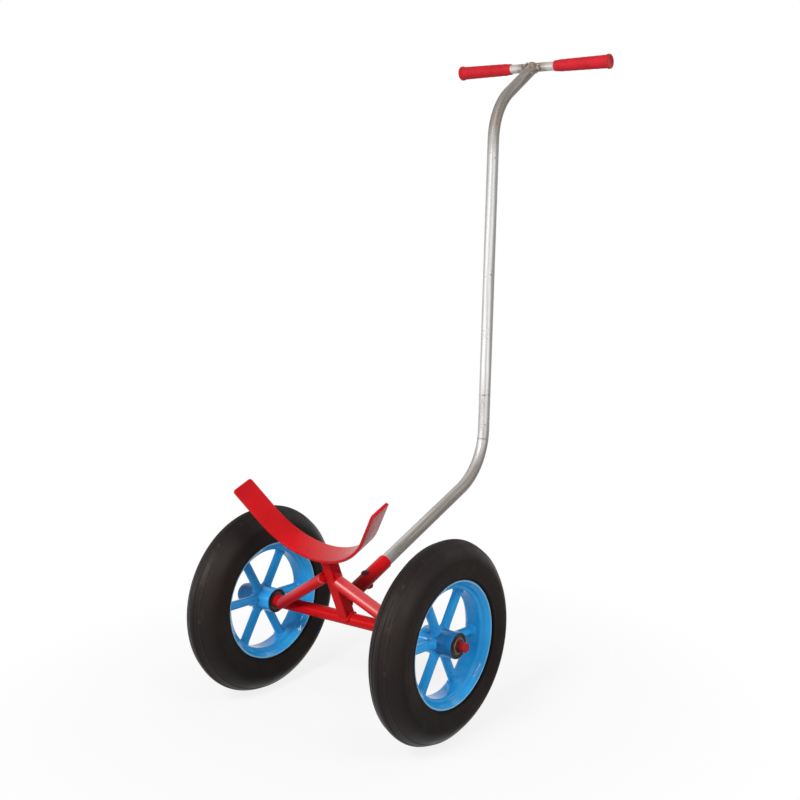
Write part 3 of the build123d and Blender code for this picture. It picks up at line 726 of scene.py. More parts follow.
RING, RING_DIRT = (0.030, 0.025, 0.023), (0.015, 0.012, 0.012)
WASHER, WASHER_DIRT = (0.060, 0.038, 0.030), (0.020, 0.014, 0.013)
WORN_PAINT, BARE_BOLT = ((0.026, 0.012, 0.012), (0.060, 0.013, 0.014)), (0.012, 0.010, 0.010)
ZINC_CHIP = (0.30, 0.22, 0.13)
seal_rubber = seal_rubber_finish()
ring_steel = steel("greasy_ring_steel", RING, RING_DIRT, 0.38, (0.36, 0.52), 0.2)
washer_steel = steel("greasy_washer_steel", WASHER, WASHER_DIRT, 0.46, (0.34, 0.48), 0.3, washer_edge)
bolt_paint = enamel("worn_bolt_paint", WORN_PAINT, BARE_BOLT, 0.5, (0.3, 0.5), gloss=(0.06, 0.1))
sprayed_pin = enamel("red_over_zinc", AXLE_RED, ZINC_CHIP, 0.55, (0.3, 0.44))
print("steels:", ring_steel.name, washer_steel.name, bolt_paint.name, sprayed_pin.name)

# %% Make the bearing seals
SEAL_INNER, SEAL_OUTER, SEAL_HALF, SEAL_LIP = mm(14.65, 19.14, 0.5, 0.75)
FINE_TURNS = 72


def seal_outline(centre):
    """A disc with a raised lip at each edge, as heights of its face at places from inside to outside."""
    inner, outer = SEAL_INNER + SEAL_LIP, SEAL_OUTER - SEAL_LIP
    steps = [(SEAL_INNER, 0.25), (inner, 1.0), (inner + SEAL_LIP, 0.35)]
    steps += [(outer - SEAL_LIP, 0.35), (outer, 1.0), (SEAL_OUTER, 0.6)]
    face = [(centre + SEAL_HALF * height, r) for r, height in steps]
    return face + [(centre - SEAL_HALF, SEAL_OUTER), (centre - SEAL_HALF, SEAL_INNER)]


for side in SIDES:
    for end in ("inner", "outer"):
        node = f"{side}_{end}_bearing_seals"
        size, middle = size_of(node)
        outline = seal_outline(size.x / 2 - SEAL_HALF)
        other_side = [(-x, r) for x, r in outline]
        sets = [(turn_round_axle(half, FINE_TURNS), True) for half in (outline, other_side)]
        seals = skin(f"{side}_{end}_seal_discs", sets, Matrix.Translation(middle))
        fit(seals, seal_rubber, "seal_rubber", f"{side}_wheel", node)

# %% [markdown]
# ## The saddle
# The saddle is a flat bar bent to the round of the pipe, with straight ends that guide the pipe in. A
# flat bar has rounded long edges and corners knocked off, and both catch the light, so they are modelled:
# the section is a rounded strip, and it narrows along the corner's round at each tip.

# %% Section and path of the saddle
seat_radius = seat["dims"]["r_mm"] * MM
seat_middle = upright @ Vector(seat["pos_m"])
SADDLE_PLATE, SADDLE_HALF_WIDTH = mm(6.0, 25.0)
SADDLE_HALF_ANGLE = math.radians(54.6)
SADDLE_FLARE, SADDLE_CORNER, SADDLE_EDGE = mm(83.0, 6.0, 1.3)
bend_run = seat_radius * SADDLE_HALF_ANGLE
end_run = bend_run + SADDLE_FLARE
print("saddle runs", round(end_run, 4), "m to each side of its middle")


def saddle_station(run):
    """The place on the pipe side of the plate, and the direction out of it, at a run from its middle."""
    angle = math.copysign(min(abs(run) / seat_radius, SADDLE_HALF_ANGLE), run)
    out = Vector((math.sin(angle), 0, -math.cos(angle)))
    ahead = Vector((math.cos(angle), 0, math.sin(angle)))
    beyond = math.copysign(max(abs(run) - bend_run, 0.0), run)
    return Vector((0, 0, seat_middle.z)) + out * seat_radius + ahead * beyond, out


def on_round(radius, cut):
    """How far a rounded corner still reaches out, where a cut goes past the corner's start."""
    return math.sqrt(max(radius**2 - cut**2, 0.0))


def saddle_ring(run):
    """The rounded strip across the plate, narrowed near the tips."""
    left_over = end_run - abs(run)
    half = SADDLE_HALF_WIDTH - SADDLE_CORNER + on_round(SADDLE_CORNER, max(SADDLE_CORNER - left_over, 0.0))
    thin = SADDLE_EDGE - on_round(SADDLE_EDGE, max(SADDLE_EDGE - left_over, 0.0))
    place, out = saddle_station(run)
    ring = []
    for corner_y, outer, start in ((1, True, 0), (-1, True, 90), (-1, False, 180), (1, False, 270)):
        y = corner_y * (half - SADDLE_EDGE)
        deep = SADDLE_PLATE - SADDLE_EDGE - thin if outer else SADDLE_EDGE + thin
        for across, down in arc((0, 0), SADDLE_EDGE, start, start + 90, 4):
            ring.append(place + Vector((0, y + across, 0)) + out * (deep + down))
    return ring


# %% Make the saddle plate
CORNER_STEPS, EDGE_STEPS, PLATE_STEPS = 14, 5, 70


def tip_run(round_off, share):
    """A place near the tip, crowded toward the end so that the round comes out smooth."""
    return end_run - round_off * (1 - math.sin(math.pi / 2 * share))


tip_runs = [tip_run(SADDLE_CORNER, i / CORNER_STEPS) for i in range(CORNER_STEPS)]
tip_runs += [tip_run(SADDLE_EDGE, i / EDGE_STEPS) for i in range(EDGE_STEPS + 1)]
tip_runs = sorted(set(tip_runs))
inner_runs = [tip_runs[0] * (i / PLATE_STEPS) for i in range(1 - PLATE_STEPS, PLATE_STEPS)]
runs = [-run for run in reversed(tip_runs)] + inner_runs + tip_runs
saddle = skin("saddle_skin", [([saddle_ring(run) for run in runs], False)], leaning, crease=50)
fit(saddle, saddle_enamel, "frame_paint", "frame", "saddle_plate")

# %% [markdown]
# ## The legs
# Two flat-oval tubes brace the axle tube against the post. Each is cut square at the top and upright at
# the foot, and welds close its ends. An oval carried down the leg's slope gives the whole skin: the
# first rings round the cut edge off, and the last one is slid along the leg until it meets the upright
# cut.

# %% Make the legs
LEG_DEPTH, LEG_HEIGHT, LEG_EDGE, LEG_END = mm(29.0, 21.5, 1.6, 172.0)
LEG_TOP, LEG_SLOPE, EDGE_RINGS = Vector(mm(17.0, -12.0, 107.8)), math.radians(32.4), 5
LEG_DOWN = Vector((math.cos(LEG_SLOPE), 0, -math.sin(LEG_SLOPE)))
LEG_UP = Vector((math.sin(LEG_SLOPE), 0, math.cos(LEG_SLOPE)))
LEG_STRAIGHT = (LEG_DEPTH - LEG_HEIGHT) / 2


def oval(inset, steps=18):
    """The leg's outline, as places across and up, a little inside its skin."""
    radius = LEG_HEIGHT / 2 - inset
    return arc((LEG_STRAIGHT, 0), radius, -90, 90, steps) + arc((-LEG_STRAIGHT, 0), radius, 90, 270, steps)


def leg_ring(inset, along):
    """The oval at a distance down the leg, on the right side of the dolly."""
    return [LEG_TOP + Vector((0, across, 0)) + LEG_UP * up + LEG_DOWN * along for across, up in oval(inset)]


def mirrored(points, sign):
    return [Vector((sign * point.x, point.y, point.z)) for point in points]


leg_rings = []
for i in range(EDGE_RINGS + 1):
    turn = math.pi / 2 * i / EDGE_RINGS
    leg_rings.append(leg_ring(LEG_EDGE * (1 - math.sin(turn)), LEG_EDGE * (1 - math.cos(turn))))
leg_rings.append([point + LEG_DOWN * ((LEG_END - point.x) / LEG_DOWN.x) for point in leg_rings[-1]])
for side, sign in SIDES.items():
    leg = skin(f"{side}_leg_skin", [([mirrored(ring, sign) for ring in leg_rings], False)], leaning)
    fit(leg, leg_enamel, "frame_paint", "frame", f"{side}_leg")

# %% [markdown]
# ## The handle socket
# The socket is a short sleeve behind the post; the handle pipe slides into it and one bolt holds it. Its
# mouth is filed round and shows its wall, so it is turned as a tube, drawn along X and then laid along
# the frame.

# %% Make the handle socket
SOCKET_OUTER, SOCKET_INNER, SOCKET_EDGE = mm(15.85, 13.65, 0.9)
SOCKET_START, SOCKET_END, SOCKET_UP = mm(12.5, 144.5, 41.0)
sleeve = [(SOCKET_START, SOCKET_INNER), (SOCKET_START, SOCKET_OUTER)]
sleeve += [(SOCKET_END, SOCKET_OUTER), (SOCKET_END, SOCKET_INNER)]
sleeve_outline = soften(sleeve + [sleeve[0]], SOCKET_EDGE, 4)[1:]
along_frame = leaning @ Matrix.Translation((0, 0, SOCKET_UP)) @ Matrix.Rotation(math.pi / 2, 4, "Z")
socket = turned("socket_skin", sleeve_outline, FINE_TURNS, along_frame)
fit(socket, socket_enamel, "frame_paint", "frame", "handle_socket")

# %% [markdown]
# ## The stem
# One length of pipe is bent twice: out of the socket, up, and back to the cross bar. A bevelled curve
# would give the same tube, but rings let each point remember how far along the pipe it lies. The bends
# are true arcs, as a pipe bender makes them.

# %% Bend the stem
STEM_RADIUS, STEM_BEND, RING_STEP = mm(13.45, 145.0, 12.0)
TOP_RISE, TOP_RUN = math.radians(12.4), 199.0 * MM
TOP_ALONG = Vector((0, math.cos(TOP_RISE), math.sin(TOP_RISE)))
FOOT_AT, LOWER_CORNER_AT = mm(13.3, 531.0)
STEM_FOOT, LOWER_CORNER = Vector((0, FOOT_AT, SOCKET_UP)), Vector((0, LOWER_CORNER_AT, SOCKET_UP))
bar_size, bar_middle = size_of("handle_bar")
bar_place = upright @ bar_middle
upper_corner = bar_place - TOP_ALONG * TOP_RUN


def bent_line(corners, radius, steps):
    """Points along a pipe's centre line with true arcs at its corners, in the frame's middle plane."""
    flat = soften([(c.y, c.z) for c in corners], radius, steps)
    line = [Vector((0, y, z)) for y, z in flat]
    filled = [line[0]]
    for before, after in zip(line, line[1:]):
        pieces = max(1, round((after - before).length / RING_STEP))
        filled += [before.lerp(after, i / pieces) for i in range(1, pieces + 1)]
    return filled


def pipe_rings(line, radius, sides):
    """Rings along a line in the middle plane, and each point's distance along and place round."""
    places = [(radius * math.cos(turn), radius * math.sin(turn)) for turn in full_turn(sides)]
    rings, marks, run = [], [], 0.0
    for i, point in enumerate(line):
        before, after = line[max(i - 1, 0)], line[min(i + 1, len(line) - 1)]
        ahead = (after - before).normalized()
        up = Vector((0, -ahead.z, ahead.y))
        run += (point - before).length
        rings.append([point + Vector((across, 0, 0)) + up * high for across, high in places])
        marks += [(run, across, high) for across, high in places]
    return rings, marks


stem_line = bent_line([STEM_FOOT, LOWER_CORNER, upper_corner, bar_place], STEM_BEND, 28)
stem_rings, stem_marks = pipe_rings(stem_line, STEM_RADIUS, 48)
stem_length = stem_marks[-1][0]
print("stem length", round(stem_length, 3), "m in", len(stem_rings), "rings")

# %% [markdown]
# ## Galvanised pipe
# The handle is zinc-dipped pipe that has weathered: dull grey, with long streaks from drawing and
# draining, faint crystals of zinc, and rust freckles. Long bands of painted reflection and shade run along
# it, so one flank is darker than the other. Oil and hands have left grime at both ends, and the bender has
# worn two rings into the lower bend; on the lower run the grime is thinner along the top, which is painted
# light. Streaks have to run along the pipe even round its bends, so the skin carries its own coordinates:
# distance along the pipe, and the place round it.

# %% Bands and heat stains on zinc
HEAT, BURNT, BARE_ZINC = (0.25, 0.20, 0.165), (0.065, 0.045, 0.036), (0.50, 0.48, 0.45)
# The band colours are painted reflection and shade along the pipe.
DARK_BAND, EDGE_BAND, MIDDLE_BAND = (0.28, 0.275, 0.265), (0.36, 0.36, 0.355), (0.36, 0.355, 0.345)
ACROSS, WANDER = (0, 0.83, -0.56), 0.12 * STEM_RADIUS


def stripe(value, rise, fall, strength=1.0):
    """On between a rise and a fall, each given by its start and its end."""
    return both(window(value, *rise, 0.0, strength), window(value, *fall, 1.0, 0.0))


def burnt_spots(where, colour, mask):
    """Brown heat stain, thickest where its mask is, broken by soot and by bright bare metal."""
    colour = layer(mask, colour, HEAT)
    soot = window(cloud(where, 85.0, 2.0), 0.52, 0.62, 0.0, 0.8)
    colour = layer(both(mask, soot), colour, BURNT)
    bare = window(cloud(where, 130.0, 1.0), 0.66, 0.72)
    return layer(both(mask, bare), colour, BARE_ZINC)


def painted_reflection_bands(where, colour):
    """Long painted reflections along the pipe: one flank painted dark as shade, the other dull, and a faint line
    between.

    The distance across the pipe wanders slowly along it, because no band is quite straight.
    """
    slow = cloud(stretched(where, 9.0, 30.0), 1.0, 3.0)
    drift = window(slow, 0.3, 0.7, -WANDER, WANDER)
    across = combine("Math", toward(where, ACROSS), drift, operation="ADD").outputs[0]
    dark = window(across, 0.40 * STEM_RADIUS, 0.64 * STEM_RADIUS, 0.0, 0.92)
    colour = layer(dark, colour, DARK_BAND)
    edge = window(across, -0.95 * STEM_RADIUS, -0.55 * STEM_RADIUS, 0.75, 0.0)
    colour = layer(edge, colour, EDGE_BAND)
    rise, fall = (-0.34 * STEM_RADIUS, -0.16 * STEM_RADIUS), (-0.02 * STEM_RADIUS, 0.14 * STEM_RADIUS)
    return layer(stripe(across, rise, fall, 0.6), colour, MIDDLE_BAND)


print("bands wander by", round(WANDER / MM, 2), "mm to each side")

# %% Marks on the stem and on the cross bar
GRIME, DULLED = (0.188, 0.167, 0.146), (0.27, 0.268, 0.262)
PALE_SMEAR, DARK_SMEAR, RING_MARK = (0.37, 0.355, 0.335), (0.115, 0.098, 0.083), (0.10, 0.085, 0.07)
DULL_RUN, LOW_GRIME, HIGH_GRIME = mm(750.0, 1200.0), mm(490.0, 610.0), mm(300.0, 230.0)
WELD_STAIN, BAR_STAIN = mm(45.0, 20.0), mm(24.0, 46.0)
RING_BEFORE, RING_AFTER, RING_CORE, RING_FADE = mm(24.0, 81.0, 0.8, 3.0)
lower_run, upper_run = LOWER_CORNER - STEM_FOOT, upper_corner - LOWER_CORNER
lower_bend = lower_run.angle(upper_run)
bend_end = lower_run.length + STEM_BEND * (lower_bend - math.tan(lower_bend / 2))
BENDER_MARKS = (bend_end - RING_BEFORE, bend_end + RING_AFTER)
print("bender's marks at", [round(at, 3) for at in BENDER_MARKS], "m along the stem")


def either(first, second):
    """Where at least one mask is on."""
    return combine("Math", first, second, operation="MAXIMUM").outputs[0]


def stem_marks_on_zinc(where, colour):
    """Painted reflection bands, grime at both ends, painted light on the lower run's top, bender's rings, weld
    stain.
    """
    colour = painted_reflection_bands(where, colour)
    run, top = axes(where)["X"], axes(where)["Z"]
    colour = layer(window(run, *DULL_RUN, 0.0, 0.72), colour, DULLED)
    # Painted light: the grime on the lower run is thinner along the pipe's top.
    painted_light_on_top = window(top, 0.85 * STEM_RADIUS, STEM_RADIUS, 1.0, 0.6)
    low = both(window(run, *LOW_GRIME, 0.9, 0.0), painted_light_on_top)
    high = near_edge(run, stem_length, *HIGH_GRIME, 0.0, 0.95)
    grime = either(low, high)
    colour = layer(grime, colour, GRIME)
    smears = cloud(stretched(where, 8.0, 170.0), 1.0, 4.0)
    pale = both(grime, window(smears, 0.54, 0.68, 0.0, 0.5))
    colour = layer(pale, colour, PALE_SMEAR)
    dark = both(grime, window(smears, 0.32, 0.46, 0.65, 0.0))
    colour = layer(dark, colour, DARK_SMEAR)
    worn = window(cloud(where, 70.0), 0.44, 0.54, 0.0, 0.6)
    for at in BENDER_MARKS:
        ring = stripe(run, (at - RING_FADE, at - RING_CORE), (at + RING_CORE, at + RING_FADE))
        colour = layer(both(worn, ring), colour, RING_MARK)
    stain = near_edge(run, stem_length, *WELD_STAIN)
    return burnt_spots(where, colour, stain), grime


def bar_marks_on_zinc(where, colour):
    """Zinc burnt brown on both sides of the weld, with black spots."""
    burnt = window(along_axle(where), *BAR_STAIN, 1.0, 0.0)
    return burnt_spots(where, colour, burnt), None


# %% Zinc finish
CRYSTAL, DRAIN_STAIN, RUST = (0.72, 0.72, 0.71), (0.22, 0.17, 0.125), (0.16, 0.060, 0.022)
BARE_METAL, COVERED_METAL, ZINC_SHINE = 0.38, 0.05, 0.3


def zinc_pipe(name, dull, bright, rust_from, marks, own_run=False):
    finish, shader, where = new_finish(name)
    if own_run:
        where = wire(shader, "Attribute", attribute_name="run").outputs["Vector"]
    streaks = cloud(stretched(where, 3.0, 150.0), 1.0, 5.0, 0.6)
    colour = layer(window(streaks, 0.32, 0.68), dull, bright)
    crystals = wire(where, "TexVoronoi", Vector=stretched(where, 24.0, 110.0), Scale=1.0)
    colour = layer(between(crystals.outputs["Color"], 0.0, 0.07), colour, CRYSTAL)
    stain = window(cloud(stretched(where, 5.0, 40.0), 1.0, 4.0), 0.54, 0.74, 0.0, 0.45)
    colour, grime = marks(where, layer(stain, colour, DRAIN_STAIN))
    freckle_area = window(cloud(where, 14.0), 0.52, 0.62, 0.0, 0.75)
    freckles = window(cloud(where, 230.0, 4.0), rust_from, rust_from + 0.05)
    rust = both(freckle_area, freckles)
    colour = layer(rust, colour, RUST)
    covered = either(rust, grime) if grime else rust
    metal = between(covered, BARE_METAL, COVERED_METAL)
    rough = window(streaks, 0.3, 0.7, 0.50, 0.36)
    fill(shader, Base_Color=colour, Roughness=rough, Metallic=metal, Specular_IOR_Level=ZINC_SHINE)
    raise_surface(shader, cloud(stretched(where, 16.0, 420.0), 1.0, 3.0), 0.12 * MM, 0.2)
    return finish


STEM_ZINC = ((0.54, 0.535, 0.525), (0.80, 0.795, 0.79))
BAR_ZINC = ((0.33, 0.315, 0.295), (0.50, 0.49, 0.47))
stem_zinc = zinc_pipe("weathered_zinc", *STEM_ZINC, 0.61, stem_marks_on_zinc, own_run=True)
bar_zinc = zinc_pipe("burnt_zinc", *BAR_ZINC, 0.66, bar_marks_on_zinc)
stem = skin("stem_skin", [(stem_rings, False)], leaning, crease=50, marks=stem_marks)
fit(stem, stem_zinc, "galvanised_pipe", "frame", "handle_stem")

# %% [markdown]
# ## Weld beads
# A hand-laid bead is a row of overlapping puddles. Rings along the seam swell and shrink with each puddle
# and wander a little, which a plain tube along a curve can't do. Painted beads join the red frame; the
# bead at the cross bar is bare and burnt brown.

# %% Bead maker
BEAD_STEP, PUDDLE, BEAD_GRAIN = mm(0.7, 3.2, 2.6)
RIPPLE, THIN_END, STEEP, TINY = 0.16, 0.04, 0.8, 1e-9


def spaced(points, step, closed):
    """A line of points laid out again at an even step."""
    loop = points + [points[0]] if closed else points
    runs = [0.0]
    for before, after in zip(loop, loop[1:]):
        runs.append(runs[-1] + (after - before).length)
    count = max(4, round(runs[-1] / step))
    even, k = [], 0
    for i in range(count if closed else count + 1):
        run = runs[-1] * i / count
        while k < len(runs) - 2 and runs[k + 1] < run:
            k += 1
        share = (run - runs[k]) / max(runs[k + 1] - runs[k], TINY)
        even.append(loop[k].lerp(loop[k + 1], min(share, 1.0)))
    return even


def bead_rings(points, radius, closed=False, puddle=PUDDLE, rough=0.22, seed=0.0, sides=12):
    line = spaced(points, BEAD_STEP, closed)
    count = len(line)
    rings, run = [], 0.0
    for i, point in enumerate(line):
        before = line[i - 1] if closed or i else line[0]
        after = line[(i + 1) % count] if closed or i + 1 < count else line[-1]
        ahead = (after - before).normalized()
        helper = Vector((0, 0, 1)) if abs(ahead.z) < STEEP else Vector((1, 0, 0))
        first = ahead.cross(helper).normalized()
        second = ahead.cross(first)
        run += (point - before).length
        ripple = 1 + RIPPLE * abs(math.sin(math.pi * run / puddle)) - RIPPLE / 2
        past_end = max(1 - min(i, count - 1 - i) * BEAD_STEP / radius, 0.0)
        ends = 1.0 if closed else math.sqrt(max(1 - past_end**2, THIN_END))
        ring = []
        for angle in full_turn(sides):
            spot = point / BEAD_GRAIN + Vector((math.cos(angle), math.sin(angle), seed))
            reach = radius * ends * (ripple + rough * noise.noise(spot))
            ring.append(point + (first * math.cos(angle) + second * math.sin(angle)) * reach)
        rings.append(ring)
    return rings, closed


print("a bead has a ring every", round(BEAD_STEP / MM, 2), "mm")

# %% Fillets at the post and the legs
POST_HALF, POST_CORNER, TUBE_RADIUS = mm(12.5, 3.0, 13.45)
FILLET_REACH, FILLET_GRAIN, FILLET_SUNK, FILLET_OVER = mm(6.5, 9.0, 0.4, 0.8)
LEG_WELD, LEG_WELD_GRAIN, LEG_WELD_SUNK = mm(3.0, 5.0, 1.0)
POST_FADE_START, POST_FADE = mm(2.5, 5.0)
FILLET_UNEVEN, FILLET_TALL = 0.35, 1.3
SWELL, FRONT_SHRINK, FRONT_REACH = 0.05, 0.03, 0.8
SQUARE = ((1, 1), (-1, 1), (-1, -1), (1, -1))
under_radius = seat_radius + SADDLE_PLATE


def saddle_underside(x):
    return seat_middle.z - math.sqrt(under_radius**2 - x**2)


def rounded_square(half, corner):
    points = []
    for quarter, (x, y) in enumerate(SQUARE):
        middle = (x * (half - corner), y * (half - corner))
        points += arc(middle, corner, 90 * quarter, 90 * quarter + 90, 8)
    return points


def post_fillet(seed, steps=9):
    """A hollow fillet that widens from the post's sides out under the saddle, a little uneven."""
    rings = []
    for i in range(-1, steps + 1):
        turn = math.pi / 2 * max(i, 0) / steps
        out, down = FILLET_REACH * (1 - math.cos(turn)), FILLET_REACH * (1 - math.sin(turn))
        sunk, over = FILLET_SUNK if i < 0 else 0.0, FILLET_OVER if i == steps else 0.0
        ring = []
        for x, y in rounded_square(POST_HALF, POST_CORNER):
            lump = 1 + FILLET_UNEVEN * noise.noise(Vector((x / FILLET_GRAIN, y / FILLET_GRAIN, seed)))
            wide = 1 + (out * lump - sunk) / POST_HALF
            height = saddle_underside(x * wide) - down * FILLET_TALL * lump + over
            ring.append(Vector((x * wide, y * wide, height)))
        rings.append(ring)
    return rings, False


def leg_fillet(sign, seed, steps=7):
    """Weld metal between a leg's square end and the side of the post."""
    rings = []
    for i in range(steps + 1):
        share = i / steps
        ring = []
        for point in leg_ring(0.0, LEG_WELD):
            near_post = ease((point.y + POST_HALF + POST_FADE_START) / POST_FADE)
            to_post = max(point.x - POST_HALF + LEG_WELD_SUNK, 0.0) / LEG_DOWN.x
            reach = to_post * near_post + LEG_WELD * (1 - near_post) * FRONT_REACH
            lump = noise.noise(point / LEG_WELD_GRAIN + Vector((seed, share, 0)))
            middle = LEG_TOP + LEG_DOWN * ((point - LEG_TOP).dot(LEG_DOWN))
            swell = 1 + SWELL * (1 + lump) * math.sin(math.pi * share) - FRONT_SHRINK * (1 - near_post)
            ring.append(middle + (point - middle) * swell - LEG_DOWN * reach * share)
        rings.append(mirrored(ring, sign))
    return rings, False


print("the post's fillet reaches", round(saddle_underside(0.0), 4), "m above the axle")

# %% Seams along the tubes
LOW_SEAM, FRONT_SEAM = 6.5 * MM, 0.95


def post_on_tube(steps=12):
    """The seam round the square post's foot, which follows the round of the axle tube."""
    corners = [(POST_HALF * x, POST_HALF * y) for x, y in SQUARE]
    seam = []
    for (x0, y0), (x1, y1) in zip(corners, corners[1:] + corners[:1]):
        for i in range(steps):
            x, y = x0 + (x1 - x0) * i / steps, y0 + (y1 - y0) * i / steps
            seam.append(Vector((x, y, max(on_round(TUBE_RADIUS, y), LOW_SEAM))))
    return seam


def leg_on_tube(sign, steps=26):
    """The seam where a leg meets the axle tube: along its underside, round its back, over its upright cut."""
    front, back = -FRONT_SEAM * TUBE_RADIUS, LEG_TOP.y + LEG_DEPTH / 2
    seam = []
    for half in (-1, 1):
        for i in range(steps + 1):
            share = i / steps if half < 0 else 1 - i / steps
            y = front + (back - front) * math.sin(math.pi / 2 * share)
            up = half * on_round(LEG_HEIGHT / 2, max(abs(y - LEG_TOP.y) - LEG_STRAIGHT, 0.0))
            z = math.sqrt(TUBE_RADIUS**2 - y**2)
            start = LEG_TOP + LEG_UP * up
            x = start.x + (start.z - z) / math.tan(LEG_SLOPE)
            seam.append(Vector((sign * min(x, LEG_END), y, z)))
    return seam


def socket_on_post():
    """Two short seams, above and below, where the sleeve's end meets the back of the post."""
    reach = math.degrees(math.asin(POST_HALF / SOCKET_OUTER))
    seams = []
    for middle in (90, 270):
        ring = arc((0, SOCKET_UP), SOCKET_OUTER, middle - reach, middle + reach, 16)
        seams.append([Vector((x, POST_HALF, z)) for x, z in ring])
    return seams


print("seam points at the post's foot:", len(post_on_tube()), "and at a leg's foot:", len(leg_on_tube(1)))

# %% Lay the painted welds
FOOT_BEAD, SEAM_BEAD = mm(3.0, 2.6)
beads = [post_fillet(1.0), bead_rings(post_on_tube(), FOOT_BEAD, True, seed=2.0)]
for sign in SIDES.values():
    beads.append(leg_fillet(sign, 3.0 + sign))
    beads.append(bead_rings(leg_on_tube(sign), SEAM_BEAD, seed=6.0 + sign))
for seam in socket_on_post():
    beads.append(bead_rings(seam, SEAM_BEAD, seed=9.0))
frame_beads = skin("frame_weld_beads", beads, leaning, crease=70)
fit(frame_beads, red_enamel, "frame_paint", "frame")

# %% [markdown]
# ## The bare weld at the cross bar
# The stem is cut to the round of the cross bar and welded all round. That bead was never painted: the
# zinc has burnt off, so it is brown and black with a few bright spots, and lumps have run out along the
# bar. The stem is the thicker pipe, so the seam dips round the bar and rides over its edge above and
# below.

# %% Burnt weld finish
SOOT, SOOTY_WELD, BRIGHT_WELD = (0.085, 0.062, 0.048), (0.30, 0.245, 0.205), (0.60, 0.57, 0.53)


def burnt_weld_finish():
    finish, shader, where = new_finish("burnt_weld")
    soot = window(cloud(where, 150.0, 4.0, 0.6), 0.42, 0.60)
    bare = window(cloud(where, 210.0, 2.0), 0.64, 0.70)
    colour = layer(bare, layer(soot, SOOTY_WELD, SOOT), BRIGHT_WELD)
    fill(shader, Base_Color=colour, Roughness=between(bare, 0.55, 0.28))
    fill(shader, Metallic=0.4, Specular_IOR_Level=0.2)
    raise_surface(shader, cloud(where, 520.0, 4.0), 0.5 * MM, 0.6)
    return finish


burnt_weld = burnt_weld_finish()
print("finish for the bare weld:", burnt_weld.name)

# %% Make the cross bar's weld
bar_radius = bar_size.z / 2
TOP_UP = Vector((0, -math.sin(TOP_RISE), math.cos(TOP_RISE)))
SEAM_SUNK, BARE_BEAD, LONG_PUDDLE, SPATTER_BEAD, SPATTER_PUDDLE = mm(0.6, 2.2, 5.5, 2.0, 4.0)
LUMPY, SPATTER_ROUGH, WELD_SIDES = 0.8, 0.9, 14
LUMPS = ((-17.5, 35, 9), (-15.0, 100, 7), (16.0, 60, 8), (18.5, 5, 11), (23.0, 45, 6))


def joint_seam(steps=72):
    """The seam round the stem's end, sunk a little into both pipes."""
    radius = STEM_RADIUS - SEAM_SUNK
    seam = []
    for turn in full_turn(steps):
        across, up = radius * math.sin(turn), radius * math.cos(turn)
        dip = on_round(bar_radius - SEAM_SUNK, up)
        seam.append(bar_place + Vector((across, 0, 0)) + TOP_UP * up - TOP_ALONG * dip)
    return seam


def spatter(x, turn, long, seed):
    """A lump of weld metal that ran along the bar, at a turn round it from the stem's side."""
    angle = math.radians(turn)
    out = TOP_UP * math.sin(angle) - TOP_ALONG * math.cos(angle)
    start = bar_place + out * bar_radius + Vector((x - long / 2, 0, 0))
    line = [start + Vector((long * i / 6, 0, 0)) for i in range(7)]
    return bead_rings(line, SPATTER_BEAD, False, SPATTER_PUDDLE, SPATTER_ROUGH, seed, WELD_SIDES)


weld_sets = [bead_rings(joint_seam(), BARE_BEAD, True, LONG_PUDDLE, LUMPY, 21.0, WELD_SIDES)]
for number, (x, turn, long) in enumerate(LUMPS):
    weld_sets.append(spatter(x * MM, turn, long * MM, 23.0 + number))
bar_weld = skin("cross_bar_weld", weld_sets, leaning, crease=70)
fit(bar_weld, burnt_weld, "weld_metal", "frame", "handle_weld")

# %% [markdown]
# ## The grips
# The grips are soft red sleeves pushed over the bar's ends, closed and flanged at the outer end, slimmer
# at the open one, with shallow waves for the fingers. They are turned; the waves are only a quarter of a
# millimetre deep but break up the highlight. Grip rubber is dull, so its finish is rough with very little
# bump.

# %% Grip rubber
GRIP_RED, GRIP_GRIME = ((0.40, 0.007, 0.013), (0.49, 0.010, 0.020)), (0.22, 0.012, 0.016)


def grip_rubber_finish():
    finish, shader, where = new_finish("grip_rubber")
    patches = window(cloud(where, 26.0, 4.0), 0.34, 0.66)
    grime = window(cloud(where, 45.0, 3.0), 0.58, 0.78, 0.0, 0.3)
    colour = layer(grime, layer(patches, *GRIP_RED), GRIP_GRIME)
    rough = between(patches, 0.56, 0.68)
    fill(shader, Base_Color=colour, Roughness=rough, Specular_IOR_Level=0.2)
    raise_surface(shader, cloud(where, 300.0, 1.0), 0.08 * MM, 0.1)
    return finish


grip_rubber = grip_rubber_finish()
print("finish for the grips:", grip_rubber.name)

# %% Make the grips
GRIP_FLANGE, FLANGE_WIDE, FLANGE_SUNK = mm(17.0, 7.0, 0.3)
GRIP_RADIUS, GRIP_TAPER, GRIP_EDGE = mm(15.5, 1.5, 1.4)
NOSE_SLIMMER, NOSE_LONG, DISH_DEEP, END_WALL = mm(1.3, 18.0, 0.8, 4.0)
WAVE, WAVE_LONG, WAVE_FADE = mm(0.25, 19.0, 8.0)
END_RING, DISH_EDGE, GRIP_STEPS = 0.7, 0.62, 80


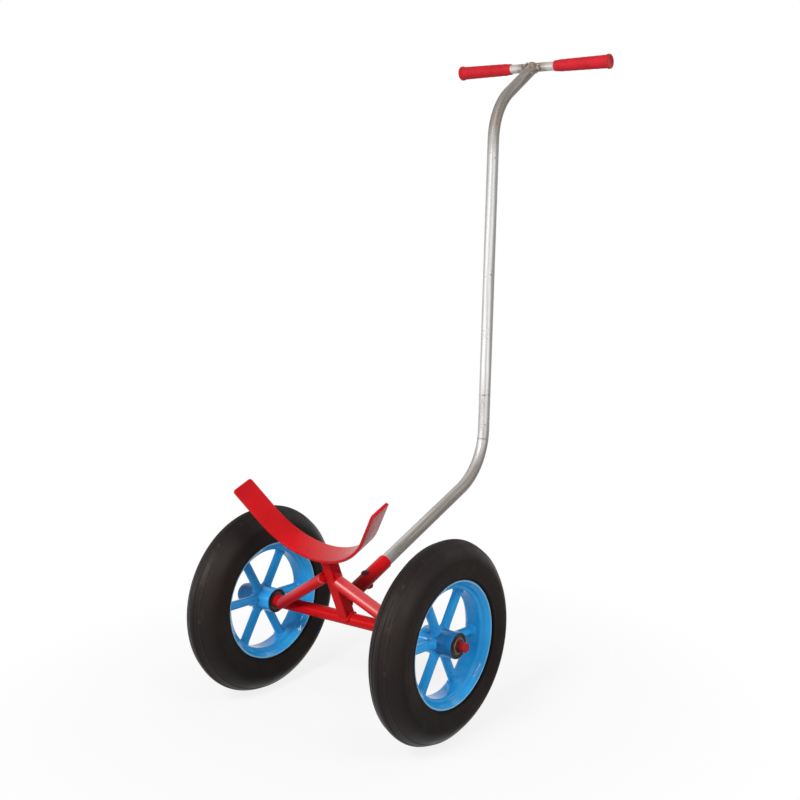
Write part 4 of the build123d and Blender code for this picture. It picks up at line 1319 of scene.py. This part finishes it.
def grip_outline(length):
    """From the open end at 0 to the closed end, as (along, radius)."""
    hole = bar_radius + SEAT_GAP
    flange_at = length - FLANGE_WIDE
    nose = GRIP_RADIUS - GRIP_TAPER - NOSE_SLIMMER
    outline = [(0, hole)] + arc((GRIP_EDGE, nose - GRIP_EDGE), GRIP_EDGE, 180, 90, 6)
    for i in range(1, GRIP_STEPS):
        x = GRIP_EDGE + (flange_at - GRIP_EDGE) * i / GRIP_STEPS
        plain = GRIP_RADIUS - GRIP_TAPER * (1 - x / flange_at) - NOSE_SLIMMER * (1 - ease(x / NOSE_LONG))
        fade = ease(min(x, flange_at - x) / WAVE_FADE)
        finger = WAVE * (0.5 - 0.5 * math.cos(2 * math.pi * x / WAVE_LONG))
        outline.append((x, plain - fade * finger))
    flange = [(flange_at, GRIP_RADIUS - FLANGE_SUNK), (flange_at, GRIP_FLANGE)]
    flange += [(length, GRIP_FLANGE), (length, GRIP_FLANGE * END_RING)]
    dish = [(length - DISH_DEEP, GRIP_FLANGE * DISH_EDGE), (length - DISH_DEEP, 0)]
    plug_at = length - END_WALL + SEAT_GAP
    return outline + soften(flange, GRIP_EDGE, 6) + dish + [(plug_at, 0), (plug_at, hole)]


for side, sign in SIDES.items():
    size, middle = size_of(f"{side}_grip")
    open_end = leaning @ (bar_place + Vector((sign * (abs(middle.x) - size.x / 2), 0, 0)))
    turned_out = Matrix.Rotation(lean, 4, "X") @ Matrix.Rotation(0.0 if sign > 0 else math.pi, 4, "Z")
    place = Matrix.Translation(open_end) @ turned_out
    grip = turned(f"{side}_grip_skin", grip_outline(size.x), FINE_TURNS, place, crease=50)
    fit(grip, grip_rubber, "grip_rubber", "frame", f"{side}_grip")

# %% [markdown]
# ## The rest of the frame
# Post, axle, cross bar, bolt, washers, pins and bearing rings already have the right shape in the frame.
# A second skin over them would show nothing new, so they stay and only take a finish.

# %% Finishes for the pieces that stay
stay = {
    red_enamel: ["axle_tube", "saddle_post", "socket_nut"],
    axle_enamel: ["axle_bar"],
    bolt_paint: ["socket_bolt"],
    bar_zinc: ["handle_bar"],
    washer_steel: ["left_washer", "right_washer"],
    sprayed_pin: ["left_split_pin", "right_split_pin"],
    ring_steel: [name for name in frame["nodes"] if name.endswith(("_ring", "_balls", "_cage", "_spacer"))],
}
for finish, names in stay.items():
    for name in names:
        mesh = frame["nodes"][name].data
        mesh.materials.clear()
        mesh.materials.append(finish)
    print(finish.name, "on", len(names), "nodes")

# %% [markdown]
# ## Floor and light
# The dolly stands on a white floor in soft light. A high lamp in front gives most of it, a low one at the
# front left puts the sheen on the treads, and one behind lifts the edges. Two narrow strips above on the
# right are rolled to lie along the near rim's flange, which mirrors them as two bright streaks. Floor and
# room are white to the camera and in reflections, and the floor keeps the soft shadow under the wheels.

# %% Floor
FLOOR_HALF, FLOOR_GREY = 9.0, (0.6, 0.6, 0.6, 1)
SHADOW_NEAR, SHADOW_FAR, SHADOW_WHITE = 0.3, 0.9, 0.84


def seen_directly(shader):
    """On for the camera, and for what it sees in shiny or clear things."""
    rays = wire(shader, "LightPath").outputs
    mirrored_too = either(rays["Is Camera Ray"], rays["Is Glossy Ray"])
    return either(mirrored_too, rays["Is Transmission Ray"])


def floor_finish():
    finish, shader, where = new_finish("white_floor")
    fill(shader, Base_Color=FLOOR_GREY, Roughness=0.9, Specular_IOR_Level=0.1)
    far = window(length_of(where), SHADOW_NEAR, SHADOW_FAR, SHADOW_WHITE, 1.0)
    white = wire(shader, "Emission", Strength=1.0)
    mask = both(seen_directly(shader), far)
    mixed = combine("MixShader", mask, shader.outputs[0], white.outputs[0])
    fill(finish.node_tree.nodes["Material Output"], Surface=mixed.outputs[0])
    return finish


floor_mesh = bpy.data.meshes.new("floor")
corners = [(FLOOR_HALF * x, FLOOR_HALF * y, 0) for x, y in SQUARE]
floor_mesh.from_pydata(corners, [], [(0, 1, 2, 3)])
floor_mesh.materials.append(floor_finish())
floor = add("floor", floor_mesh)
floor.location = (0, axle.y, 0)
print("floor", 2 * FLOOR_HALF, "m wide")

# %% Surrounding light and lamps
ROOM_LIGHT = 0.16
AIM = Vector((0, -0.15, 0.5))
world = bpy.data.worlds.new("pale_room")
world.use_nodes = True
bpy.context.scene.world = world
room = world.node_tree.nodes["Background"]
fill(room, Color=(1, 1, 1, 1), Strength=between(seen_directly(room), ROOM_LIGHT, 1.0))


def lamp(name, place, size, power, roll=0):
    """A soft lamp aimed at the dolly; a strip can be rolled about its aim, in degrees."""
    light = bpy.data.lights.new(name, "AREA")
    light.shape = "RECTANGLE"
    light.size, light.size_y = size
    light.energy = power
    holder = add(name, light)
    holder.location = place
    aimed = (AIM - Vector(place)).to_track_quat("-Z", "Y").to_matrix()
    holder.rotation_euler = (aimed @ Matrix.Rotation(math.radians(roll), 3, "Z")).to_euler()
    print("lamp", name, "of", power, "W")


lamp("front", (0.15, -2.4, 2.3), (0.8, 0.7), 80)
lamp("overhead", (1.41, -0.91, 1.9), (0.6, 0.15), 9, roll=46)
lamp("side_right", (2.1, -0.55, 1.45), (0.9, 0.12), 13, roll=35)
lamp("left", (-1.5, -2.3, 1.0), (0.5, 0.5), 16)
lamp("behind", (1.2, 2.6, 2.6), (2.0, 1.0), 24)

# %% [markdown]
# ## The camera
# The camera stands to the right of the dolly, about a metre up, and looks slightly down. Its lens is
# worked out from a focal length in pixels, and a small shift moves the picture's centre sideways without
# turning the camera.

# %% Camera
IMAGE = 800
CAMERA_AT = Vector((1.4729, -1.8827, 1.010))
AZIMUTH, ELEVATION = math.radians(31.95), math.radians(9.41)
FOCAL_PIXELS, CENTRE_PIXEL, SENSOR = 1100.5, 540.0, 36.0
camera_data = bpy.data.cameras.new("studio_camera")
camera_data.sensor_width = SENSOR
camera_data.lens = FOCAL_PIXELS * SENSOR / IMAGE
camera_data.shift_x = (IMAGE / 2 - CENTRE_PIXEL) / IMAGE
camera = add("studio_camera", camera_data)
level = math.cos(ELEVATION)
look_back = Vector((math.sin(AZIMUTH) * level, -math.cos(AZIMUTH) * level, math.sin(ELEVATION)))
camera.location = CAMERA_AT
camera.rotation_euler = (-look_back).to_track_quat("-Z", "Y").to_euler()
bpy.context.scene.camera = camera
bpy.context.scene.view_settings.view_transform = "Standard"
print("camera lens", round(camera_data.lens, 2), "shift", round(camera_data.shift_x, 3))
